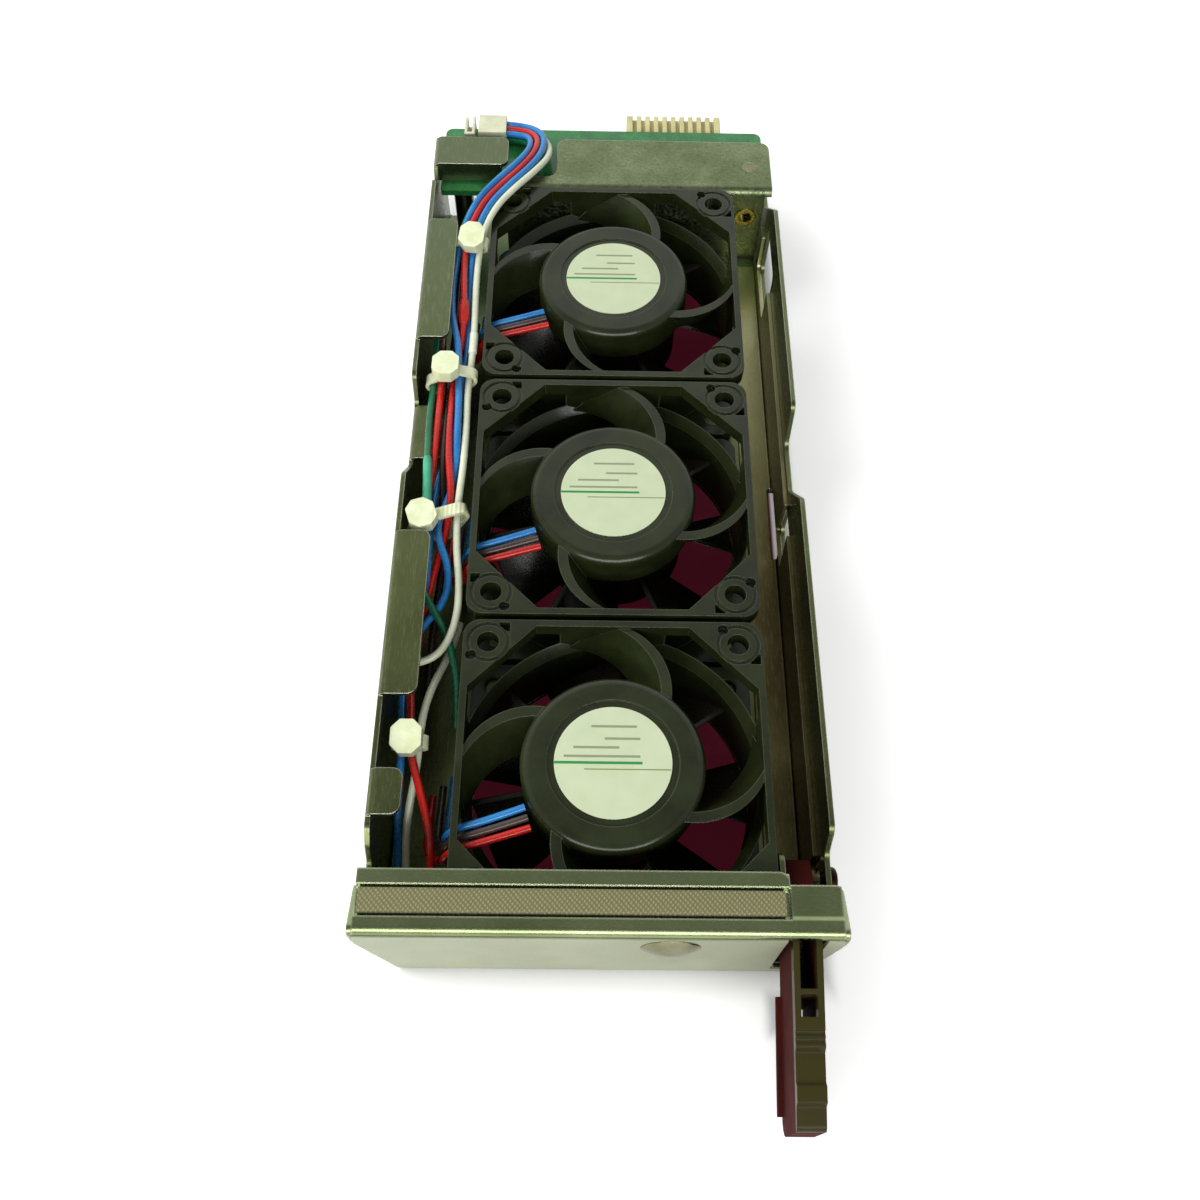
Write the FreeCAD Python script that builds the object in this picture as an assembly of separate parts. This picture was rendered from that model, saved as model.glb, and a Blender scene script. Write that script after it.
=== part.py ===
import FreeCAD, Part
import math
import os

# Server fan module: a folded sheet-metal tray with three axial fans in a row, a wiring channel on the
# left, a gasketed front panel with a latch lever, and a backplane board at the rear.
# Millimetres. Origin: underside of the floor, on the tray's centre line below the middle fan's shaft.
# +X right, +Y to the rear, +Z up.

# ---------------------------------------------------------------- driving dimensions
# tray
tray_width = 86.0
sheet = 1.0                    # tray, rail and bracket sheet
fan_top_room = 2.5             # tray's top above the fans
bend_out = 1.8                 # outside radius of the tray's folds
panel_sheet = 1.0
panel_gap = 0.2                # tray ends behind the panel, and its flanges stand outside the walls
panel_fan_gap = 2.1            # front fan behind the panel
tray_rear_reach = 15.8         # tray runs on behind the rear wall
rear_wall_gap = 0.3            # rear wall behind the last fan

# fans
fan_size = 60.0
fan_height = 25.0
fan_gap = 1.4                  # between two fans
fan_rail_gap = 1.5             # right side of the fans from the side rail's foot
fan_hole_edge = 5.0            # hole centres from the sides of the frame
fan_hole_r = 2.2
fan_corner_r = 3.5
fan_side_wall = 1.4            # duct wall at the middle of each side
fan_mouth_depth = 6.5          # eight-sided mouth above the round duct
fan_mouth_step = 2.5           # slanted sides of the mouth outside the round duct
fan_mouth_cone = 3.0           # cone between the duct and the mouth
fan_flange = 3.5               # end flanges of the fan frame
hub_r = 17.8
hub_edge_r = 1.8
hub_skirt = 8.0
hub_wall = 1.4
hub_plate = 2.5
label_r = 11.25
label_thick = 0.2
label_recess = 0.4
label_recess_r = 12.7
vane_count = 4
vane_depth = 8.0
vane_wall = 1.5
vane_first = 138.0             # angle of the first vane at the hub, degrees
vane_sweep = 40.0
vane_lean = 16.0
lead_r = 0.75
lead_drop = 3.6                # leads leave this far below the frame's top
lead_pitch = 2.0

# fan motor
rotor_bottom = 2.6
rotor_height = 12.6
rotor_hub_r = 15.8
rotor_wall = 1.2
blade_count = 7
blade_tip_gap = 0.6
blade_thick = 1.1
blade_low = 0.6                # blade starts above the rotor's underside
blade_height = 11.2
blade_reach_root = 5.0
blade_reach_tip = 8.4
shaft_r = 1.5
shaft_top_gap = 1.0
bearing_r = 4.0
bearing_width = 3.0
bearing_clear = 0.05
tube_wall = 1.0
magnet_thick = 1.2
magnet_gap = 0.5
stator_low = 3.4               # stator above the rotor's underside
stator_height = 7.4
stator_slots = 6
motor_board_thick = 1.0
motor_board_gap = 1.2          # motor board above the rotor
motor_post_r = 1.0

# tray side features
lip_reach = 8.0
lip_corner_r = 2.0
low_lip_drop = 7.5             # the lip in the left notch lies this much lower
wall_shoulder = 1.1            # wall between the lips ends this much below their top
notch_r = 2.2
floor_opening_edge = 0.1       # floor opening inside the duct
boss_r = 2.05
boss_height = 2.2
rail_height = 15.0
rail_foot = 8.0
rail_foot_thick = 0.8

# rear
flange_drop = 3.0              # flange below the tray's top
flange_depth_rear = 17.8       # flange behind the rear wall's face
flange_left_x = -12.0
strip_left_x = -25.0
strip_depth = 4.2
flange_wall_gap = 0.2          # flange's right end inside the tray's outside
flange_corner_r = 2.5
board_thick = 1.6
board_drop = 2.0               # board top below the flange's underside
board_rear_reach = 7.0         # board behind the flange
board_front_gap = 0.8
board_side_gap = 0.5
connector_x = 18.7
connector_width = 25.0
connector_height = 12.0
connector_overhang = 8.0       # connector behind the board
connector_length = 18.5
contact_reach = 7.0            # contacts and their slots from the connector's rear
rib_pitch = 2.3
rib_gap = 1.1
rib_depth = 1.3
header_x = -28.9
header_width = 7.2
header_depth = 6.4
header_height = 4.8
header_wall = 0.6
header_rear_gap = 0.5
side_header_width = 2.6
side_header_gap = 1.0
standoff_r = 2.6
clinch_side = 5.7              # clinch stud inside the tray's right side
clinch_back = 8.8              # and behind the rear wall
clinch_r = 1.6
board_post_side = 6.0          # board post inside the tray's left side
board_post_back = 11.3
board_screw_r = 1.2
board_screw_head_r = 2.5
board_screw_head = 1.4
board_screw_reach = 5.0        # screw's length in the post
ring_nut_side = 6.2
ring_nut_drop = 3.9            # below the board
ring_nut_r = 2.7
ring_nut_hole_r = 1.6
ring_nut_head = 0.9

# front panel
flange_depth = 9.7
ear_low_z = 11.5               # underside of the side flanges, which hang from the top
face_taper_left = 5.2          # left side of the face slants in by this much towards the floor
face_taper_right = 3.2
face_taper_z = 22.0            # from this height down
corner_cut = 8.0               # tray's lower front corners are cut back by this much
channel_drop = 1.3             # gasket channel below the panel's top
channel_front = 3.2            # channel starts this far behind the face
channel_width = 5.6
lip_depth = 2.9
gasket_edge = 1.6              # gasket's left end inside the panel's side
gasket_slot_gap = 0.5          # and its right end before the lever slot
gasket_height = 1.7
gasket_clear = 0.2
slot_margin = 4.0              # lever slot inside the panel's right side
slot_gap_left = 0.7
slot_gap_right = 0.8
slot_gap_top = 0.5
slot_low_z = 3.0
slot_drop = 1.7                # slot's top below the panel's top
overlay_thick = 0.3
overlay_edge = 0.5
stud_x = 13.0
stud_drop = 7.5                # below the panel's top
stud_r = 5.5
stud_height = 1.6
stud_shank_r = 1.6
side_screw_back = 5.6          # behind the panel's face
side_screw_drop = 10.7         # below the tray's top
side_screw_r = 1.45
side_screw_head_r = 3.0
side_screw_head = 1.8

# latch lever, drawn as its spring holds it; pressing it down turns it about the pivot
lever_width = 5.2
lever_reach = 30.0             # tip in front of the face
lever_depth = 15.9             # lever's height where it passes the face
lever_top_slope = 15.0         # degrees down towards the tip
lever_low_slope = 18.5
lever_wall = 1.1
lever_bridge = 2.2             # thickness below the open trough
lever_window = 3.6             # window through the lever, along Y
lever_window_back = 8.6        # window's rear edge in front of the face
lever_rib = 1.0                # rib along the lower left edge
pivot_back = 11.8              # behind the tray's front edge
pivot_drop = 10.7              # below the tray's top
pivot_r = 1.5
pivot_clear = 0.05
pivot_head_r = 2.5
pivot_head = 1.6
ear_thick = 1.0
ear_gap = 0.3
ear_r = 3.4
ear_drop = 3.0                 # top of the bracket's ear below the tray's top
tongue_thick = 1.0
tongue_clear = 0.1
rivet_r = 0.55
rivet_pitch = 1.6
spring_wire_r = 0.35
spring_r = 2.4
spring_width = 1.4
spring_gap = 0.3

# harness
wire_r = 0.8
wire_pitch = 1.75
tie_width = 2.6
tie_band = 0.8
tie_clear = 0.25
tie_head_w = 6.0
tie_head_l = 6.8
tie_head_h = 2.8
tie_head_corner = 1.7
# place along the channel, how far the head sits left of the wires' middle, and the band's twist
tie_places = [(71.5, -1.6, 0.0), (31.5, 0.6, 0.0), (-6.2, 3.0, 22.0), (-55.9, 0.2, 0.0)]

# ---------------------------------------------------------------- worked-out places
half = tray_width / 2.0
floor_top = sheet
fan_top = floor_top + fan_height
tray_height = fan_top + fan_top_room
wall_top = tray_height - wall_shoulder
fan_x = half - sheet - rail_foot - fan_rail_gap - fan_size / 2.0
fan_pitch = fan_size + fan_gap
fan_ys = [fan_pitch, 0.0, -fan_pitch]
fan_hole_pitch = fan_size - 2 * fan_hole_edge
fan_bore_r = fan_size / 2.0 - fan_side_wall
fan_mouth_corner = (fan_bore_r + fan_mouth_step) * 2 ** 0.5      # |x| + |y| of the slanted sides
blade_tip_r = fan_bore_r - blade_tip_gap
floor_opening_r = fan_bore_r - floor_opening_edge
fans_front_y = fan_ys[2] - fan_size / 2.0
panel_face_y = fans_front_y - panel_fan_gap - panel_sheet
panel_side = half + panel_gap + panel_sheet                      # half width outside the side flanges
rear_wall_y = fan_ys[0] + fan_size / 2.0 + rear_wall_gap
tray_front_y = panel_face_y + panel_sheet + panel_gap
tray_rear_y = rear_wall_y + tray_rear_reach
flange_top = tray_height - flange_drop
flange_rear_y = rear_wall_y + flange_depth_rear
flange_right_x = half - flange_wall_gap
board_top = flange_top - sheet - board_drop
board_low = board_top - board_thick
board_rear_y = flange_rear_y + board_rear_reach
connector_rear_y = board_rear_y + connector_overhang
connector_front_y = connector_rear_y - connector_length
clinch_x = half - clinch_side
clinch_y = rear_wall_y + clinch_back
board_post_x = -half + board_post_side
board_post_y = rear_wall_y + board_post_back
ring_nut_x = half - ring_nut_side
ring_nut_z = board_low - ring_nut_drop
slot_right_x = panel_side - slot_margin
lever_right_x = slot_right_x - slot_gap_right
lever_left_x = lever_right_x - lever_width
lever_mid_x = lever_left_x + lever_width / 2.0
slot_left_x = lever_left_x - slot_gap_left
slot_high_z = tray_height - slot_drop
lever_top_at_face = slot_high_z - slot_gap_top
lever_low_at_face = lever_top_at_face - lever_depth
lever_tip_y = panel_face_y - lever_reach
gasket_left_x = -panel_side + gasket_edge
gasket_right_x = slot_left_x - gasket_slot_gap
stud_z = tray_height - stud_drop
side_screw_y = panel_face_y + side_screw_back
side_screw_z = tray_height - side_screw_drop
pivot_y = tray_front_y + pivot_back
pivot_z = tray_height - pivot_drop
ear_top = tray_height - ear_drop
NODES = []


# ---------------------------------------------------------------- helpers
def V(x, y, z):
    """Point or direction."""
    return FreeCAD.Vector(x, y, z)


def box(x0, x1, y0, y1, z0, z1):
    """Block between two corners."""
    return Part.makeBox(x1 - x0, y1 - y0, z1 - z0, V(x0, y0, z0))


def rod(x, y, z, r, length, axis=(0, 0, 1)):
    """Round bar from a point along an axis."""
    return Part.makeCylinder(r, length, V(x, y, z), V(*axis))


def union(shapes):
    """One solid from touching or overlapping ones, without seams on flat faces."""
    out = shapes[0]
    if len(shapes) > 1:
        out = out.fuse(shapes[1:])
    return out.removeSplitter()


def rounded_wire(points, radii, lift):
    """Closed outline with an arc at each corner. points are 2-D, lift turns one into a 3-D vector."""
    n = len(points)
    cuts = []
    for i in range(n):
        p = points[i]
        a = points[i - 1]
        b = points[(i + 1) % n]
        ua = (a[0] - p[0], a[1] - p[1])
        ub = (b[0] - p[0], b[1] - p[1])
        la = math.hypot(*ua)
        lb = math.hypot(*ub)
        ua = (ua[0] / la, ua[1] / la)
        ub = (ub[0] / lb, ub[1] / lb)
        r = radii[i]
        if r <= 0:
            cuts.append((p, None, p))
            continue
        inner = math.acos(max(-1.0, min(1.0, ua[0] * ub[0] + ua[1] * ub[1])))
        back = r / math.tan(inner / 2.0)
        start = (p[0] + ua[0] * back, p[1] + ua[1] * back)
        end = (p[0] + ub[0] * back, p[1] + ub[1] * back)
        mid_dir = (ua[0] + ub[0], ua[1] + ub[1])
        size = math.hypot(*mid_dir)
        centre_far = r / math.sin(inner / 2.0)
        reach = centre_far - r
        mid = (p[0] + mid_dir[0] / size * reach, p[1] + mid_dir[1] / size * reach)
        cuts.append((start, mid, end))
    edges = []
    for i in range(n):
        start, mid, end = cuts[i]
        if mid is not None:
            edges.append(Part.Arc(lift(start), lift(mid), lift(end)).toShape())
        following = cuts[(i + 1) % n][0]
        if math.hypot(following[0] - end[0], following[1] - end[1]) > 1e-6:
            edges.append(Part.LineSegment(lift(end), lift(following)).toShape())
    return Part.Wire(edges)


def prism(points, radii, lift, along):
    """Solid of a rounded outline pushed along a vector."""
    if not isinstance(radii, (list, tuple)):
        radii = [radii] * len(points)
    return Part.Face(rounded_wire(points, radii, lift)).extrude(along)


def plate_xy(points, radii, z0, z1):
    """Flat plate lying in XY."""
    return prism(points, radii, lambda p: V(p[0], p[1], z0), V(0, 0, z1 - z0))


def plate_yz(points, radii, x0, x1):
    """Flat plate standing in YZ."""
    return prism(points, radii, lambda p: V(x0, p[0], p[1]), V(x1 - x0, 0, 0))


def plate_xz(points, radii, y0, y1):
    """Flat plate standing in XZ."""
    return prism(points, radii, lambda p: V(p[0], y0, p[1]), V(0, y1 - y0, 0))


def rectangle(x0, x1, y0, y1):
    """Corner points of a rectangle."""
    return [(x0, y0), (x1, y0), (x1, y1), (x0, y1)]


def polar(r, degrees):
    """Point on a circle."""
    a = math.radians(degrees)
    return (r * math.cos(a), r * math.sin(a))


def node(name, shapes):
    """Keep a named node made of one or more separate solids."""
    if not isinstance(shapes, (list, tuple)):
        shapes = [shapes]
    solids = []
    for shape in shapes:
        solids.extend(shape.Solids)
    for solid in solids:
        if not solid.isValid():
            raise ValueError(name + ": a solid is not valid")
    NODES.append((name, Part.makeCompound(solids) if len(solids) > 1 else solids[0]))


# ---------------------------------------------------------------- tray
lips = [                        # front, rear, inner edge measured from the wall, drop below the tray's top
    (40.0, tray_rear_y - 30.3, lip_reach - 0.4, 0.0),
    (11.5, 26.0, lip_reach, low_lip_drop),
    (-49.0, -12.0, lip_reach - 0.4, 0.0),
    (tray_front_y + 20.3, tray_front_y + 29.3, lip_reach - 1.6, 0.0),
]
corner_lip = (tray_rear_y - 11.0, tray_rear_y - 1.2, 18.7)
fy, ry, wt = tray_front_y, tray_rear_y, wall_top
left_profile = [
    (fy, 0.0), (fy, wt - 6.4), (fy + 13.4, wt - 6.4), (fy + 15.2, wt - 2.6), (fy + 18.3, wt), (3.0, wt),
    (10.0, wt - low_lip_drop), (27.2, wt - low_lip_drop), (29.6, wt), (ry - 15.6, wt),
    (ry - 13.3, wt - 4.4), (ry - 11.1, wt), (ry, wt), (ry, 0.0),
]
ht = tray_height
right_profile = [
    (fy, 0.0), (fy, ht - 7.0), (fy + 15.8, ht - 7.0), (fy + 18.3, ht), (-3.0, ht), (6.5, ht - 11.5),
    (19.4, ht - 11.5), (21.4, ht), (ry - 25.5, ht), (ry - 12.5, ht - 11.2), (ry, ht - 11.2), (ry, 0.0),
]
left_radii = [0, 0.8] + [notch_r] * 7 + [0.8] * 4 + [0]
window_rear = (tray_rear_y - 40.0, tray_rear_y - 23.0, 6.0, tray_height - 8.0)
window_mid = (-6.0, 4.5, 4.5, 14.0)
floor_slot = (-2.2, 17.4, 2.0)


def folded_lip(y0, y1, reach, drop):
    """Inward lip on top of the left wall, with its fold and rounded free corners."""
    top = tray_height - drop
    low = top - 3.2
    x_out = -half
    fold = bend_out
    outline = [(x_out, low), (x_out, top), (x_out + reach, top), (x_out + reach, top - sheet),
               (x_out + sheet, top - sheet), (x_out + sheet, low)]
    radii = [0, fold, 0, 0, fold - sheet, 0]
    strip = plate_xz(outline, radii, y0, y1)
    plan = plate_xy([(x_out, y0), (x_out + reach, y0), (x_out + reach, y1), (x_out, y1)],
                    [0, lip_corner_r, lip_corner_r, 0], low, top)
    return strip.common(plan)


def make_tray():
    """Floor and two side walls from one U-shaped fold, with lips, windows and air openings."""
    u_shape = [(-half, tray_height), (-half, 0.0), (half, 0.0), (half, tray_height),
               (half - sheet, tray_height), (half - sheet, sheet), (-half + sheet, sheet),
               (-half + sheet, tray_height)]
    radii = [0, bend_out, bend_out, 0, 0, bend_out - sheet, bend_out - sheet, 0]
    body = plate_xz(u_shape, radii, tray_front_y, tray_rear_y)
    left = plate_yz(left_profile, left_radii, -half - 1, 0)
    right = plate_yz(right_profile, [0] + [notch_r] * 10 + [0], 0, half + 1)
    body = body.common(union([left, right]))
    parts = [body]
    for y0, y1, reach, drop in lips:
        parts.append(folded_lip(y0, y1, reach, drop))
    y0, y1, reach = corner_lip
    parts.append(folded_lip(y0, y1, reach, 0.0))
    parts.append(box(-half, -half + reach - 1.5, y0, y0 + sheet, board_top + 0.5, tray_height - sheet))
    body = union(parts)
    cuts = []
    for fan_y in fan_ys:
        cuts.append(rod(fan_x, fan_y, -1, floor_opening_r, sheet + 2))
    for y0, y1, z0, z1 in (window_rear, window_mid):
        cuts.append(plate_yz(rectangle(y0, y1, z0, z1), 2.0, half - 2, half + 1))
    y0, y1, width = floor_slot
    cuts.append(plate_xy(rectangle(half - sheet - width, half - sheet, y0, y1), 0.8, -1, sheet + 1))
    for side in (-1, 1):
        cuts.append(rod(side * (half + 1), side_screw_y, side_screw_z, side_screw_r, 4, (-side, 0, 0)))
    cuts.append(rod(half - 3, pivot_y, pivot_z, pivot_r, 6, (1, 0, 0)))
    for side in (-1, 1):
        taper = face_taper_left if side < 0 else face_taper_right
        corner = [V(side * (half + 1), tray_front_y - 1, -1),
                  V(side * (half + 1), tray_front_y + corner_cut, -1),
                  V(side * (half - taper - 0.6), tray_front_y - 1, -1)]
        base = Part.Face(Part.makePolygon(corner + corner[:1]))
        wedge = base.extrude(V(0, 0, face_taper_z - 5.0)).cut(
            plate_yz([(tray_front_y - 2, face_taper_z - 4), (tray_front_y + corner_cut + 1, -1),
                      (tray_front_y + corner_cut + 1, face_taper_z)], 0, -half - 2, half + 2))
        cuts.append(wedge)
    body = body.cut(cuts)
    bosses = []
    for fan_y in fan_ys:
        for sx in (-1, 1):
            for sy in (-1, 1):
                bosses.append(rod(fan_x + sx * fan_hole_pitch / 2, fan_y + sy * fan_hole_pitch / 2, 0,
                                  boss_r, sheet + boss_height))
    node("tray", union([body] + bosses))


def make_side_rail():
    """Angle stiffener spot-welded inside the right wall, with its windows."""
    x1 = half - sheet
    y0 = tray_front_y + 17.0
    y1 = rear_wall_y - 2.5
    foot = [(x1 - rail_foot, floor_top), (x1, floor_top), (x1, floor_top + rail_height),
            (x1 - sheet, floor_top + rail_height), (x1 - sheet, floor_top + rail_foot_thick),
            (x1 - rail_foot, floor_top + rail_foot_thick)]
    radii = [0, bend_out - sheet, 0, 0, 0.4, 0]
    rail = plate_xz(foot, radii, y0, y1)
    wy0, wy1, wz0, wz1 = window_rear
    cuts = [plate_yz(rectangle(wy0 - 0.8, wy1 + 0.8, wz0, tray_height), 1.5, x1 - 2 * sheet, x1 + 1)]
    wy0, wy1, wz0, wz1 = window_mid
    cuts.append(plate_yz([(wy0, wz0), (wy1, wz0), (wy1 - 2.0, tray_height), (wy0 + 3.0, tray_height)],
                         0.8, x1 - 2 * sheet, x1 + 1))
    sy0, sy1, width = floor_slot
    cuts.append(box(x1 - width, x1 + 1, sy0, sy1, 0, floor_top + 3.0))
    node("side_rail", rail.cut(cuts))


# ---------------------------------------------------------------- rear
def make_rear_bracket():
    """Rear wall behind the last fan, folded back into the flange that carries the board."""
    y0 = rear_wall_y
    x1 = flange_right_x
    wall_right = half - bend_out
    fold = [(y0, floor_top), (y0, flange_top), (flange_rear_y, flange_top),
            (flange_rear_y, flange_top - sheet), (y0 + sheet, flange_top - sheet), (y0 + sheet, floor_top)]
    body = plate_yz(fold, [0, bend_out, 0, 0, bend_out - sheet, 0], strip_left_x, x1)
    plan = plate_xy([(strip_left_x, y0 - 1), (x1, y0 - 1), (x1, flange_rear_y),
                     (flange_left_x, flange_rear_y), (flange_left_x, y0 + strip_depth),
                     (strip_left_x, y0 + strip_depth)],
                    [0, 0, flange_corner_r, flange_corner_r, flange_corner_r, 0.5], 0, flange_top + 1)
    body = body.common(plan)
    cuts = [
        box(wall_right, x1 + 1, y0 - 1, y0 + bend_out, 0, flange_top - bend_out),
        rod(ring_nut_x, y0 - 1, ring_nut_z, ring_nut_r - 0.8, 4, (0, 1, 0)),
        rod(clinch_x, clinch_y, flange_top - 3, clinch_r, 4),
    ]
    node("rear_bracket", body.cut(cuts))


def make_rear_fasteners():
    """Brass ring nut in the rear wall, clinch stud in the flange, board posts and screws."""
    y0 = rear_wall_y
    x, z = ring_nut_x, ring_nut_z
    body = union([
        rod(x, y0 - ring_nut_head * 0.3, z, ring_nut_r, ring_nut_head * 0.3, (0, 1, 0)),
        rod(x, y0, z, ring_nut_r - 0.8, sheet + 2.0, (0, 1, 0)),
    ])
    node("ring_nut", body.cut(rod(x, y0 - 2, z, ring_nut_hole_r, 8, (0, 1, 0))))
    stud = union([
        rod(clinch_x, clinch_y, board_top, standoff_r, flange_top - sheet - board_top),
        rod(clinch_x, clinch_y, flange_top - sheet, clinch_r, sheet),
    ])
    node("clinch_stud", stud.cut(rod(clinch_x, clinch_y, board_top - 1, board_screw_r,
                                     flange_top - board_top + 0.4)))
    x, y = board_post_x, board_post_y
    post = rod(x, y, floor_top, standoff_r, board_low - floor_top)
    node("board_post", post.cut(rod(x, y, board_low - board_screw_reach - 1, board_screw_r, board_screw_reach + 2)))
    node("board_screws", [
        union([rod(x, y, board_low - board_screw_reach, board_screw_r, board_screw_reach + board_thick),
               rod(x, y, board_top, board_screw_head_r, board_screw_head)]),
        union([rod(clinch_x, clinch_y, board_low, board_screw_r, board_thick + 2.4),
               rod(clinch_x, clinch_y, board_low - board_screw_head, board_screw_head_r, board_screw_head)]),
    ])


def make_board():
    """Backplane board under the flange, its connector, contacts and wire headers."""
    x0 = -half + sheet + board_side_gap
    x1 = half - sheet - board_side_gap
    y0 = rear_wall_y + sheet + board_front_gap
    outline = [(x0, y0), (x1, y0), (x1, board_rear_y), (x0, board_rear_y)]
    board = plate_xy(outline, [0.5, 0.5, 2.0, 2.0], board_low, board_top)
    node("backplane_board", board.cut([
        rod(x, y, 0, board_screw_r, 40) for x, y in ((board_post_x, board_post_y), (clinch_x, clinch_y))]))
    cx0 = connector_x - connector_width / 2
    cx1 = connector_x + connector_width / 2
    cz0 = board_low - connector_height
    shell = box(cx0, cx1, connector_front_y, connector_rear_y, cz0, board_low)
    count = int(connector_width // rib_pitch)
    start = connector_x - (count - 1) * rib_pitch / 2
    cuts = []
    contacts = []
    for i in range(count):
        x = start + i * rib_pitch
        cuts.append(box(x - rib_gap / 2, x + rib_gap / 2, board_rear_y + 0.8, connector_rear_y + 1,
                        board_low - rib_depth, board_low + 1))
        cuts.append(box(x - rib_gap / 2, x + rib_gap / 2, connector_rear_y - contact_reach, connector_rear_y + 1,
                        cz0 + 1.2, board_low - rib_depth - 1.0))
        contacts.append(box(x - 0.3, x + 0.3, connector_rear_y - contact_reach, connector_rear_y - 1.6,
                            cz0 + 2.2, board_low - rib_depth - 2.0))
    node("backplane_connector", shell.cut(cuts))
    node("connector_contacts", contacts)
    hy1 = board_rear_y - header_rear_gap
    hy0 = hy1 - header_depth
    hx0 = header_x - header_width / 2
    hx1 = header_x + header_width / 2
    base = box(hx0, hx1, hy0, hy1, board_top, board_top + header_height)
    base = base.cut(box(hx0 + header_wall + 1.0, hx1 + 1.0, hy0 + header_wall - 0.1, hy1 - header_wall + 0.1,
                        board_top + header_wall, board_top + header_height - header_wall))
    node("wire_header", base)
    sx1 = hx0 - side_header_gap
    side = box(sx1 - side_header_width, sx1, hy0, hy1, board_top, board_top + header_height - 0.6)
    node("side_header", side.cut(box(sx1 - side_header_width + 0.7, sx1 - 0.7, hy0 + 0.8, hy1 + 1,
                                     board_top + 1.0, board_top + header_height)))


# ---------------------------------------------------------------- front panel
def make_panel():
    """Folded front panel: face with the lever slot, top flange with the gasket channel, side flanges."""
    y0 = panel_face_y
    s = panel_sheet
    top = tray_height
    base = top - channel_drop
    yc0 = y0 + channel_front
    yc1 = yc0 + channel_width
    y_end = yc1 + lip_depth
    low = base - s * 0.7
    section = [(y0, 0.0), (y0, top), (yc0, top), (yc0 + 0.4, base), (yc1 - 0.4, base), (yc1, top),
               (y_end, top), (y_end, top - s * 0.7), (yc1 + 0.6, top - s * 0.7), (yc1 + 0.2, low),
               (y0 + s, low), (y0 + s, 0.0)]
    radii = [0, 1.4, 0.2, 0.2, 0.2, 0.3, 0.2, 0.2, 0.1, 0.2, 0.4, 0]
    main = plate_yz(section, radii, -panel_side + s, gasket_right_x + 1.0)
    crease = 0.35
    flat = [(y0, 0.0), (y0, top), (yc0, top), (yc0 + 0.5, top - crease), (yc1 + 0.6, top - crease),
            (yc1 + 0.6, top - s), (y0 + s, top - s), (y0 + s, 0.0)]
    right = plate_yz(flat, [0, 1.4, 0.4, 0.4, 0, 0, 0.4, 0], gasket_right_x + 1.0, panel_side - s)
    curl = box(gasket_right_x + 0.2, gasket_right_x + 1.0, yc1 + 0.8, y_end - 0.4, top - 1.9, top - 0.2)
    trim = plate_xy([(-panel_side, y0), (panel_side, y0), (panel_side, yc1 + 0.6),
                     (gasket_right_x + 1.2, yc1 + 0.6), (gasket_right_x + 1.2, y_end), (-panel_side, y_end)],
                    [0, 0, 2.0, 0, 2.2, 1.0], -1, top + 1)
    parts = [main.common(trim), right.common(trim), curl]
    for side in (-1, 1):
        outline = [(y0, face_taper_z), (y0, top), (y0 + flange_depth, top - 3.5),
                   (y0 + flange_depth, ear_low_z + 1.0), (y0 + 4.2, ear_low_z)]
        x0 = side * panel_side - (s if side > 0 else 0)
        parts.append(plate_yz(outline, [0, 1.4, 2.0, 2.0, 1.5], x0, x0 + s))
    body = union(parts)
    top_side = panel_side + 1
    left, right = -panel_side + face_taper_left, panel_side - face_taper_right
    keep = plate_xz([(left, -1), (right, -1), (right, 0), (panel_side, face_taper_z),
                     (top_side, face_taper_z), (top_side, top + 1), (-top_side, top + 1),
                     (-top_side, face_taper_z), (-panel_side, face_taper_z), (left, 0)], 0,
                    y0 - 1, y0 + s + 0.6)
    behind = box(-top_side, top_side, y0 + s, y_end + 1, -1, top + 1)
    body = body.common(keep.fuse(behind))
    slot = plate_xz(rectangle(slot_left_x, slot_right_x, slot_low_z, slot_high_z), 0.8, y0 - 1, y0 + s + 0.5)
    cuts = [slot, rod(stud_x, y0 - 1, stud_z, stud_shank_r, s + 2, (0, 1, 0))]
    for side in (-1, 1):
        cuts.append(rod(side * (panel_side + 1), side_screw_y, side_screw_z, side_screw_r + 0.2,
                        s + 2, (-side, 0, 0)))
    node("front_panel", body.cut(cuts))


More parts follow.
